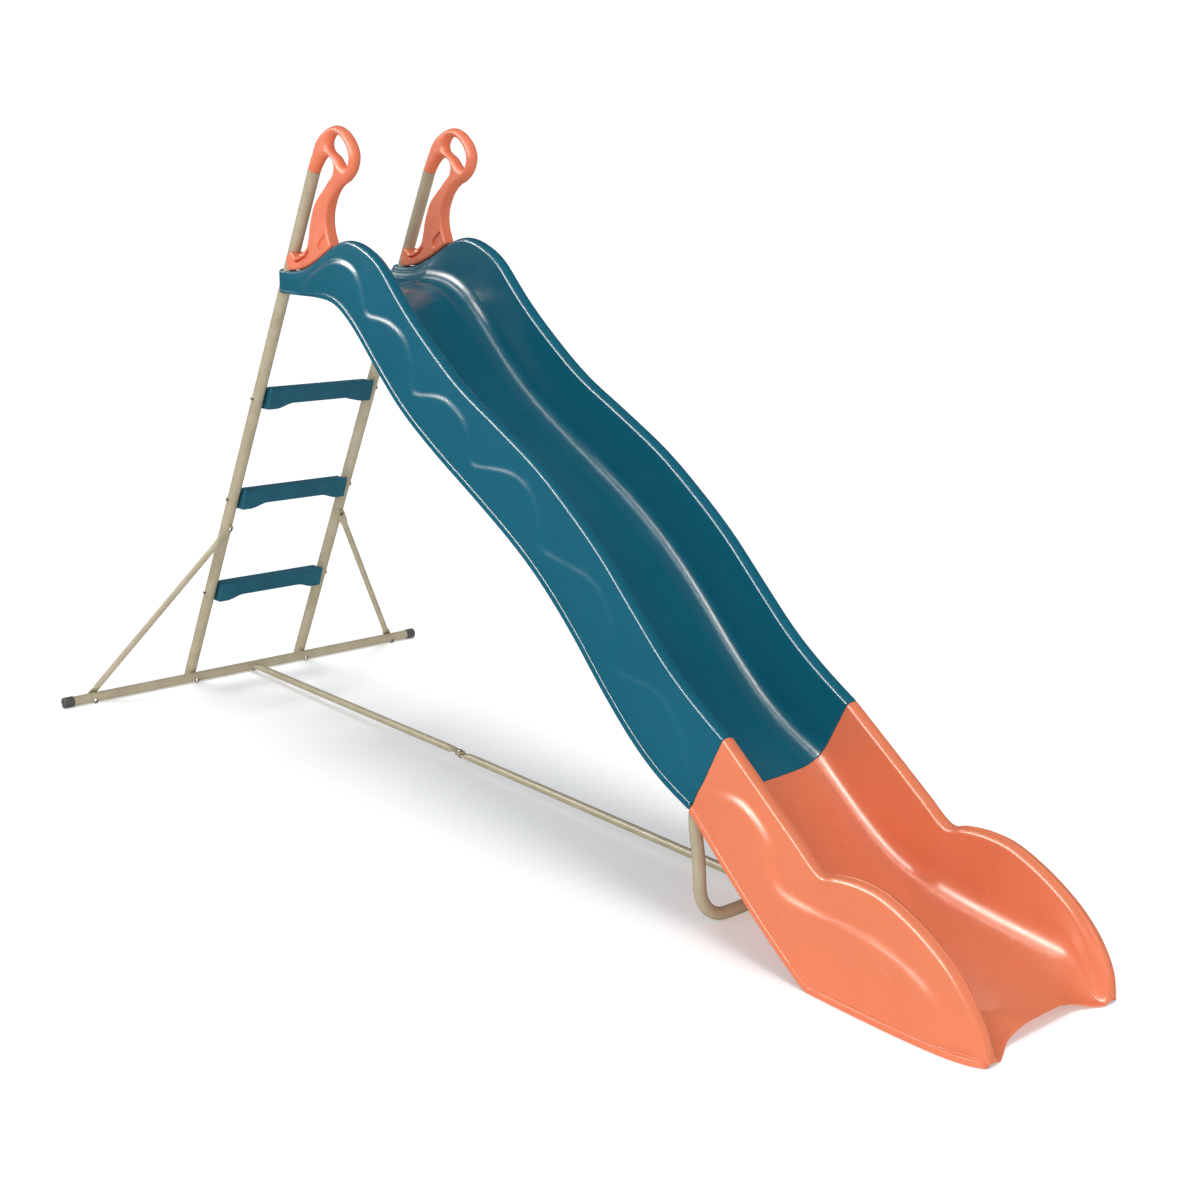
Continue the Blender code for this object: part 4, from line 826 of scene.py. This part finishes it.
# ------------------------------------------------------------------ steps
for k, tag in enumerate(("lower", "middle", "upper")):
    top = STEP_TOP + k * STEP_PITCH
    s = (top - STEP_HEIGHT * 0.45 - CROSS_Z) / COS
    at = upright_point(s, 1)
    half = at.y - UPRIGHT_R - GAP - 0.0004
    centre_x = at.x + SIN / COS * STEP_HEIGHT * 0.45 + 0.0295 - STEP_DEPTH / 2
    tan22 = math.tan(math.radians(22))
    edge = np.array([0.0, 0.0004, 0.0010, 0.0020, 0.0032])
    ys = np.concatenate([-half + edge, np.linspace(-half + 0.0045, half - 0.0045, 190), half - edge[::-1]])
    rings = []
    for yy in ys:
        e = half - abs(yy)
        t = np.clip((e - 0.022) / 0.050, 0, 1)
        low = -STEP_HEIGHT + (STEP_HEIGHT - STEP_WAIST) * (0.5 - 0.5 * math.cos(math.pi * t))
        shrink = 0.0022 * (1 - math.sqrt(max(0.0, 1 - (1 - min(e, 0.0022) / 0.0022) ** 2)))
        d, top_z, r = STEP_DEPTH / 2 - shrink, -shrink, 0.0034
        low_z = low + shrink
        prof = []
        for cx, cz, a0 in ((d - r, top_z - r, 90), (d - r, low_z + r, 0), (-d + r, low_z + r, -90), (-d + r, top_z - r, -180)):
            for a in np.linspace(a0, a0 - 90, 7):
                prof.append((cx + r * math.cos(math.radians(a)), cz + r * math.sin(math.radians(a))))
            if a0 == -180:
                continue
        # tread: from the front edge back, finely divided for the grip bars
        tread = [(x, top_z) for x in np.linspace(-d + r, d - r, 34)[1:-1]]
        prof = prof + tread
        out = []
        for x, z in prof:
            dz = 0.0
            if z > top_z - 0.0002 and abs(x) < d - r * 0.9:
                bar = (yy + half) / 0.0190
                inside_bar = ease(1.6 - abs((bar % 1.0) - 0.5) / 0.11)
                row = ease(1.4 - abs(abs(x) - 0.0125) / 0.0055)
                dz += 0.0011 * inside_bar * row * float(ease((e - 0.016) / 0.004))
                lip = ease((0.0105 - e) / 0.004) * ease((x - d + 0.020) / 0.006)
                dz += 0.0014 * lip * float(ease(e / 0.0012))
                dz -= 0.0011 * float(ease((e - 0.010) / 0.004)) * ease((d - r - 0.0015 - abs(x)) / 0.0025)
            if x < -d + 0.0005 and low_z + r < z < top_z - r:
                dz += 0.0
            out.append((centre_x + x + tan22 * (z + dz), yy, top + z + dz))
        rings.append(out)
    rings = np.array(rings)
    build = Build()
    build.grid(rings, wrap=True)
    build.fan(rings[0], rings[0].mean(0), flip=True)
    build.fan(rings[-1], rings[-1].mean(0))
    place(build.object("step_tread_" + tag, STEP, 50), "step_plastic", ["step_" + tag])

# ------------------------------------------------------------------ grab handles
rim_line = up_rows[:, 0:2]


def rim_height(x):
    return float(np.interp(x, rim_line[:, 0], rim_line[:, 1]))


plug = np.array(upright_point(UPRIGHT_LEN, 1) + LEAN_DIR * 0.0005)
down = unit(np.array(upright_point(0, 1)) - plug)
e = UPRIGHT_R * 0.995
back = np.array((plug[0] - LEAN_OUT.x * e, plug[2] - LEAN_OUT.z * e))
fore = np.array((plug[0] + LEAN_OUT.x * e, plug[2] + LEAN_OUT.z * e))
tail = np.array((-LEAN_DIR.x, -LEAN_DIR.z)) * 0.030
body_line = np.vstack([
    [back + tail, back + tail * 0.5],
    catmull([back, (0.740, 1.411), (0.762, 1.440), (0.798, 1.460), (0.838, 1.4675), (0.874, 1.457),
             (0.903, 1.433), (0.916, 1.403), (0.906, 1.372), (0.880, 1.350), (0.850, 1.338), (0.820, 1.317),
             (0.800, 1.292), (0.793, 1.266), (0.796, 1.239), (0.809, 1.2080)], 150),
    [(x, rim_height(x) + 0.0010) for x in np.linspace(0.806, 0.664, 40)],
    catmull([(0.661, 1.1500), (0.661, 1.168), (0.664, 1.182), (0.676, 1.188), (0.692, 1.194), (0.706, 1.206),
             (0.715, 1.228), (0.722, 1.252), (0.735, 1.281), (0.752, 1.306), (0.776, 1.328), (0.803, 1.350),
             (0.824, 1.366), (0.827, 1.386), (0.809, 1.400), (0.785, 1.400), (0.763, 1.386), fore], 160),
    [fore + tail * 0.5, fore + tail],
])
loop_line = catmull_closed([(0.808, 1.429), (0.821, 1.444), (0.840, 1.448), (0.864, 1.439), (0.885, 1.419),
                            (0.892, 1.398), (0.881, 1.378), (0.861, 1.383), (0.839, 1.403), (0.815, 1.416)], 90)
hook_line = np.vstack([
    catmull([(0.6195, rim_height(0.6195) + 0.0016), (0.6185, 1.164), (0.6205, 1.177), (0.6290, 1.1875),
             (0.6400, 1.1900), (0.6495, 1.1850), (0.6560, 1.1785), (0.6650, 1.1800), (0.6840, 1.1880),
             (0.6940, 1.1800), (0.6900, 1.166), (0.684, rim_height(0.684) + 0.0016)], 90),
    [(x, rim_height(x) + 0.0014) for x in np.linspace(0.682, 0.6215, 20)],
])
SLOT_LINE = catmull([(0.6590, 1.1695), (0.6700, 1.1700), (0.6850, 1.1745), (0.7000, 1.1830), (0.7110, 1.1925)], 24)
POCKET = catmull_closed([(0.7600, 1.1960), (0.7555, 1.2080), (0.7660, 1.2200), (0.7860, 1.2330), (0.7900, 1.2270),
                         (0.7930, 1.2120), (0.7800, 1.2020)], 60)


def smooth_min(a, b, k):
    h = np.clip(0.5 + 0.5 * (b - a) / k, 0, 1)
    return b + (a - b) * h - k * h * (1 - h)


def rounded_extrude(d2, y, half, r):
    w1, w2 = d2 + r, np.abs(y) - half + r
    return np.minimum(np.maximum(w1, w2), 0) + np.hypot(np.maximum(w1, 0), np.maximum(w2, 0)) - r


def flat_fields(x, z):
    """Everything that depends on the side view only."""
    d = segment_distance(x, z, body_line, True)
    d = np.where(inside(x, z, body_line), -d, d)
    e = segment_distance(x, z, loop_line, True)
    e = np.where(inside(x, z, loop_line), e, -e)
    d = -smooth_min(-d, -e, 0.004)
    hook = segment_distance(x, z, hook_line, True)
    hook = np.where(inside(x, z, hook_line), -hook, hook)
    slot_d = segment_distance(x, z, SLOT_LINE) - 0.0034
    pocket = segment_distance(x, z, POCKET, True)
    pocket = np.where(inside(x, z, POCKET), -pocket, pocket)
    return d, hook, slot_d, pocket


def handle_field(x, y, z, flat):
    """Signed distance of one handle; y measured from the tube plane, outwards positive."""
    d, hook, slot_d, pocket = flat
    r = 0.0060 + 0.0082 * ease((z - 1.290) / 0.050)
    body = rounded_extrude(d, y, 0.0145, r)
    along = (x - plug[0]) * down[0] + y * down[1] + (z - plug[2]) * down[2]
    from_axis = np.sqrt(np.maximum((x - plug[0]) ** 2 + y ** 2 + (z - plug[2]) ** 2 - along ** 2, 0))
    body = np.maximum(body, np.where((x < 0.80) & (z > 1.28) & (z < 1.39) & (from_axis < 0.024), along - 0.0, -1.0))
    spigot = np.maximum(from_axis - (UPRIGHT_R - TUBE_WALL - 0.0006), np.abs(along - 0.018) - 0.026)
    lug = rounded_extrude(hook, y - 0.0015, 0.0182, 0.0050)
    solid = smooth_min(body, lug, 0.0035)
    cut_depth = 0.0145 - 0.0070
    face = cut_depth - np.abs(y)
    wide = 0.0145 - 0.0052 - np.abs(y)
    for hole, depth in ((slot_d, face), (pocket, wide)):
        recess = -smooth_min(-hole, -depth, 0.0008)
        solid = -smooth_min(-solid, recess, 0.0008)
    passage = from_axis - (UPRIGHT_R + GAP + 0.0001)
    solid = np.where(along > 0.05, np.maximum(solid, -passage), solid)
    return np.minimum(solid, spigot)


def surface_net(field, origin, cell):
    """Quad surface through the sign changes of a sampled field."""
    s = field < 0
    n = np.array(field.shape) - 1
    corner = [(i, j, k) for i in (0, 1) for j in (0, 1) for k in (0, 1)]
    view = lambda a, c: a[c[0]:c[0] + n[0], c[1]:c[1] + n[1], c[2]:c[2] + n[2]]
    total = sum(view(s, c).astype(np.int8) for c in corner)
    active = (total > 0) & (total < 8)
    index = np.full(active.shape, -1, np.int64)
    cells = np.argwhere(active)
    index[active] = np.arange(len(cells))
    acc, num = np.zeros((len(cells), 3)), np.zeros(len(cells))
    values = {c: view(field, c)[active] for c in corner}
    for a in corner:
        for axis in range(3):
            if a[axis]:
                continue
            b = list(a)
            b[axis] = 1
            fa, fb = values[a], values[tuple(b)]
            hit = (fa < 0) != (fb < 0)
            t = np.where(hit, fa / np.where(hit, fa - fb, 1), 0)
            p = np.tile(np.array(a, float), (len(cells), 1))
            p[:, axis] += t
            acc[hit] += p[hit]
            num[hit] += 1
    verts = origin + (cells + acc / num[:, None]) * cell
    quads = []
    for axis in range(3):
        u, v = [(1, 2), (2, 0), (0, 1)][axis]
        hi = [slice(None)] * 3
        lo = [slice(None)] * 3
        hi[axis], lo[axis] = slice(1, None), slice(None, -1)
        change = s[tuple(hi)] != s[tuple(lo)]
        at = np.argwhere(change)
        at = at[(at[:, u] > 0) & (at[:, v] > 0) & (at[:, u] < n[u]) & (at[:, v] < n[v])]
        inner_side = s[at[:, 0], at[:, 1], at[:, 2]]
        corners = []
        for du, dv in ((-1, -1), (0, -1), (0, 0), (-1, 0)):
            q = at.copy()
            q[:, u] += du
            q[:, v] += dv
            corners.append(index[q[:, 0], q[:, 1], q[:, 2]])
        quad = np.stack(corners, 1)
        quad[~inner_side] = quad[~inner_side][:, ::-1]
        quads.append(quad)
    quads = np.vstack(quads)
    return verts, quads[(quads >= 0).all(1)]


cell = 0.00135
gx = np.arange(0.598, 0.924, cell)
gy = np.arange(-0.0215, 0.0235, cell)
gz = np.arange(1.138, 1.476, cell)
X2, Z2 = np.meshgrid(gx, gz, indexing="ij")
flat2 = [f[:, None, :] for f in flat_fields(X2, Z2)]
field = handle_field(gx[:, None, None], gy[None, :, None], gz[None, None, :], flat2)
field = np.broadcast_to(field, (len(gx), len(gy), len(gz))).copy()
verts, quads = surface_net(field, np.array((gx[0], gy[0], gz[0])), cell)


def field_at(p):
    return handle_field(p[:, 0], p[:, 1], p[:, 2], flat_fields(p[:, 0], p[:, 2]))


for _ in range(2):
    value = field_at(verts)
    grad = np.stack([(field_at(verts + d) - value) / 0.0002 for d in np.eye(3) * 0.0002], 1)
    norm = np.maximum((grad ** 2).sum(1), 0.25)
    move = np.clip((value / norm)[:, None] * grad, -cell * 0.35, cell * 0.35)
    verts = verts - move
for side, tag in ((-1, "right"), (1, "left")):
    v = verts.copy()
    v[:, 1] = (v[:, 1] + plug[1]) * side
    f = quads if side == 1 else quads[:, ::-1]
    obj = mesh_object("grab_handle_" + tag, v, [f], HANDLE_ORANGE)
    bm = bmesh.new()
    bm.from_mesh(obj.data)
    bmesh.ops.recalc_face_normals(bm, faces=bm.faces)
    bm.to_mesh(obj.data)
    bm.free()
    obj.data.shade_smooth()
    place(obj, "orange_plastic", ["handle_" + tag])


# ------------------------------------------------------------------ fixings
def hex_radius(angle, flats):
    return flats / np.cos((angle + math.pi / 6) % (math.pi / 3) - math.pi / 6)


def rings_object(name, rings, mat, smooth_angle):
    build = Build()
    build.grid(rings, wrap=True)
    build.fan(rings[0], rings[0].mean(0), flip=True)
    build.fan(rings[-1], rings[-1].mean(0))
    return build.object(name, mat, smooth_angle, weld=1e-7)


SEG = 36
ANG = np.linspace(0, math.tau, SEG, endpoint=False)
FLATS = HEX_R * math.cos(math.pi / 6)


def fixing_rings(profile, at, direction):
    at, axis = np.array(at, float), unit(np.array(direction, float))
    side = unit(np.cross(axis, (0.0, 0.0, 1.0) if abs(axis[2]) < 0.9 else (1.0, 0.0, 0.0)))
    other = np.cross(axis, side)
    rings = []
    for radii, z in profile:
        radii = np.broadcast_to(radii, (SEG,))
        zz = np.broadcast_to(z, (SEG,))
        rings.append(at + np.outer(radii * np.cos(ANG), side) + np.outer(radii * np.sin(ANG), other) + np.outer(zz, axis))
    return np.array(rings)


def bolt(name, at, direction, length):
    hexa = hex_radius(ANG, FLATS)
    profile = [(0.0020, -HEAD_H + 0.0005), (0.0034, -HEAD_H + 0.0004), (np.minimum(hexa, FLATS * 0.93), -HEAD_H),
               (np.minimum(hexa, FLATS * 1.02), -HEAD_H + 0.0003), (np.minimum(hexa, FLATS * 1.08), -HEAD_H + 0.0008),
               (hexa, -HEAD_H + 0.0014), (hexa, -0.0006), (np.minimum(hexa, FLATS * 1.09), -0.00035),
               (FLATS * 0.98, -0.0003), (FLATS * 0.97, 0.0), (BOLT_R, 0.0)]
    shank = max(length - 0.020, 0.002)
    profile += [(BOLT_R, z) for z in np.linspace(0.0008, shank, 6)]
    for z in np.arange(shank, length - 0.0008, 0.00025):
        phase = (z / 0.0010 - ANG / math.tau) % 1.0
        profile.append((BOLT_R - 0.00032 * (1 - np.abs(2 * phase - 1)), z))
    profile += [(BOLT_R - 0.0004, length - 0.0004), (BOLT_R - 0.0008, length)]
    obj = rings_object(name + "_turned", fixing_rings(profile, at, direction), ZINC, 32)
    return place(obj, "zinc_steel", [name])


def nut(name, at, direction):
    hexa = hex_radius(ANG, FLATS)
    bore = BOLT_R + 0.0002
    profile = [(bore, 0.0004), (bore + 0.0004, 0.0), (FLATS * 0.95, 0.0), (np.minimum(hexa, FLATS * 1.02), 0.0002),
               (np.minimum(hexa, FLATS * 1.08), 0.0006), (hexa, 0.0011), (hexa, NUT_H - 0.0011),
               (np.minimum(hexa, FLATS * 1.08), NUT_H - 0.0006), (np.minimum(hexa, FLATS * 1.02), NUT_H - 0.0002),
               (FLATS * 0.95, NUT_H), (bore + 0.0004, NUT_H), (bore, NUT_H - 0.0004), (bore, 0.0004)]
    build = Build()
    build.grid(fixing_rings(profile, at, direction), wrap=True)
    obj = build.object(name + "_turned", ZINC, 32, weld=1e-7)
    return place(obj, "zinc_steel", [name])


for side, tag in ((-1, "right"), (1, "left")):
    at = upright_point(FOOT_BOLT_S, side)
    bolt("foot_bolt_" + tag, at - LEAN_OUT * (UPRIGHT_R + GAP), LEAN_OUT, 0.0620)
    nut("foot_nut_" + tag, at + LEAN_OUT * (UPRIGHT_R + 2 * CROSS_R + 2 * GAP), LEAN_OUT)
    at = Vector((0, BRACE_FOOT_Y * side, CROSS_Z))
    bolt("brace_foot_bolt_" + tag, at - LEAN_OUT * (CROSS_R + 2 * GAP + FLAT_T), LEAN_OUT, 0.0370)
    nut("brace_foot_nut_" + tag, at + LEAN_OUT * (CROSS_R + GAP), LEAN_OUT)
    at = upright_point(BRACE_TOP_S, side)
    bolt("brace_top_bolt_" + tag, at - LEAN_OUT * (UPRIGHT_R + GAP), LEAN_OUT, 0.0410)
    nut("brace_top_nut_" + tag, at + LEAN_OUT * (UPRIGHT_R + 2 * GAP + FLAT_T), LEAN_OUT)
    at = upright_point(CHUTE_BOLT_S, side)
    bolt("chute_bolt_" + tag, at - LEAN_OUT * (UPRIGHT_R + GAP), LEAN_OUT, 0.0420)
    nut("chute_nut_" + tag, at + LEAN_OUT * (UPRIGHT_R + 2 * GAP + 0.0047), LEAN_OUT)
    for j, (up, yy) in enumerate(JOINT_BOLTS):
        where = ("low", "high")[j]
        rear_face = -0.0048 - 2 * GAP - (0.0056 + GAP if j == 0 else 0.0)
        bolt("joint_bolt_%s_%s" % (where, tag), joint_point(up, yy * side, 0.0045 + 2 * GAP), -JOINT_OUT,
             0.0045 + 2 * GAP - rear_face + NUT_H + 0.003)
        nut("joint_nut_%s_%s" % (where, tag), joint_point(up, yy * side, rear_face), -JOINT_OUT)
    for k, step in enumerate(("lower", "middle", "upper")):
        z = STEP_TOP + k * STEP_PITCH - STEP_HEIGHT * 0.45
        at = upright_point((z - CROSS_Z) / COS, side)
        bolt("step_bolt_%s_%s" % (step, tag), at + Vector((0, (UPRIGHT_R + GAP) * side, 0)), (0, -side, 0), 0.0550)

bolt("floor_brace_bolt", (-CROSS_R - GAP, 0, FLOOR_BOLT_Z), (1, 0, 0), 0.0390)
nut("floor_brace_nut", (tab_x + HALF_FLAT + GAP, 0, FLOOR_BOLT_Z), (1, 0, 0))
bolt("middle_bolt", (MID_X, 0, 0.0325 + HALF_FLAT + GAP), (0, 0, -1), 0.0180)
nut("middle_nut", (MID_X, 0, lap - HALF_FLAT - GAP), (0, 0, -1))
bolt("hoop_bolt", (HOOP_X + HOOP_R + GAP, 0, HOOP_R), (-1, 0, 0), 0.0400)
nut("hoop_nut", (hoop_tab_x - HALF_FLAT - GAP, 0, HOOP_R), (-1, 0, 0))

# ------------------------------------------------------------------ floor, light, camera
floor_mat = bpy.data.materials.new("studio_floor")
floor_mat.use_nodes = True
shader = floor_mat.node_tree.nodes["Principled BSDF"]
shader.inputs["Base Color"].default_value = (0.90, 0.90, 0.90, 1)
shader.inputs["Roughness"].default_value = 0.95
shader.inputs["Specular IOR Level"].default_value = 0.0
shader.inputs["Emission Color"].default_value = (1, 1, 1, 1)
shader.inputs["Emission Strength"].default_value = 0.32
bm = bmesh.new()
bmesh.ops.create_grid(bm, x_segments=8, y_segments=8, size=40.0)
mesh = bpy.data.meshes.new("studio_floor")
bm.to_mesh(mesh)
bm.free()
floor = bpy.data.objects.new("studio_floor", mesh)
floor.location = (0, 0, -0.0003)
mesh.materials.append(floor_mat)
bpy.context.scene.collection.objects.link(floor)
floor.visible_glossy = False

world = bpy.data.worlds.new("studio")
bpy.context.scene.world = world
world.use_nodes = True
nodes, links = world.node_tree.nodes, world.node_tree.links
nodes.clear()
out = nodes.new("ShaderNodeOutputWorld")
mix = nodes.new("ShaderNodeMixShader")
seen = nodes.new("ShaderNodeBackground")
seen.inputs["Color"].default_value = (1, 1, 1, 1)
seen.inputs["Strength"].default_value = 1.05
felt = nodes.new("ShaderNodeBackground")
felt.inputs["Color"].default_value = (0.96, 0.98, 1.0, 1)
felt.inputs["Strength"].default_value = 0.47
mirrored = nodes.new("ShaderNodeBackground")
mirrored.inputs["Color"].default_value = (0.96, 0.98, 1.0, 1)
mirrored.inputs["Strength"].default_value = 0.07
split = nodes.new("ShaderNodeMixShader")
path = nodes.new("ShaderNodeLightPath")
links.new(path.outputs["Is Glossy Ray"], split.inputs[0])
links.new(felt.outputs[0], split.inputs[1])
links.new(mirrored.outputs[0], split.inputs[2])
links.new(path.outputs["Is Camera Ray"], mix.inputs[0])
links.new(split.outputs[0], mix.inputs[1])
links.new(seen.outputs[0], mix.inputs[2])
links.new(mix.outputs[0], out.inputs[0])


def strip(name, at, target, size, power, colour):
    data = bpy.data.lights.new(name, "AREA")
    data.shape = "RECTANGLE"
    data.size, data.size_y = size
    data.energy = power
    data.color = colour
    obj = bpy.data.objects.new(name, data)
    obj.location = at
    obj.rotation_euler = (Vector(target) - Vector(at)).to_track_quat("-Z", "Y").to_euler()
    obj.visible_diffuse = False
    bpy.context.scene.collection.objects.link(obj)
    return obj


strip("front_strip", (-1.0, -4.3, 3.35), (0.2, 0.0, 0.7), (9.0, 0.85), 900.0, (1.0, 0.92, 0.84))
strip("thin_strip", (-1.0, -2.6, 4.2), (-0.1, 0.0, 0.7), (9.0, 0.20), 100.0, (1.0, 0.95, 0.90))
strip("left_panel", (-4.0, -2.9, 2.7), (0.0, 0.0, 0.7), (2.6, 1.5), 22.0, (1.0, 0.97, 0.94))

lit_floor = bpy.data.collections.new("floor_only")
lit_floor.objects.link(floor)
lit_slide = bpy.data.collections.new("slide_only")
for piece in list(bpy.context.scene.objects):
    if piece.type == "MESH" and piece is not floor:
        lit_slide.objects.link(piece)


def wide_sun(name, direction, energy, angle, receivers):
    data = bpy.data.lights.new(name, "SUN")
    data.energy = energy
    data.angle = math.radians(angle)
    obj = bpy.data.objects.new(name, data)
    obj.rotation_euler = Vector(direction).to_track_quat("-Z", "Y").to_euler()
    obj.visible_glossy = False
    obj.light_linking.receiver_collection = receivers
    bpy.context.scene.collection.objects.link(obj)
    return obj


wide_sun("overhead", (-0.02, 0.0, -1.0), 1.30, 22, lit_floor)
wide_sun("front_fill", (-0.40, 0.85, -0.42), 1.15, 40, lit_slide)
wide_sun("top_fill", (-0.15, 0.15, -1.0), 0.75, 60, lit_slide)

camera_data = bpy.data.cameras.new("camera")
camera_data.lens = 49.89
camera_data.sensor_width = 36.0
camera_data.clip_end = 300.0
camera = bpy.data.objects.new("camera", camera_data)
camera.location = (4.1197 - CX, -2.1443, 1.3510)
camera.rotation_euler = Vector((-0.74447, 0.62118, -0.24476)).to_track_quat("-Z", "Y").to_euler()
bpy.context.scene.collection.objects.link(camera)
bpy.context.scene.camera = camera
bpy.context.scene.view_settings.view_transform = "Standard"
bpy.context.scene.view_settings.look = "None"
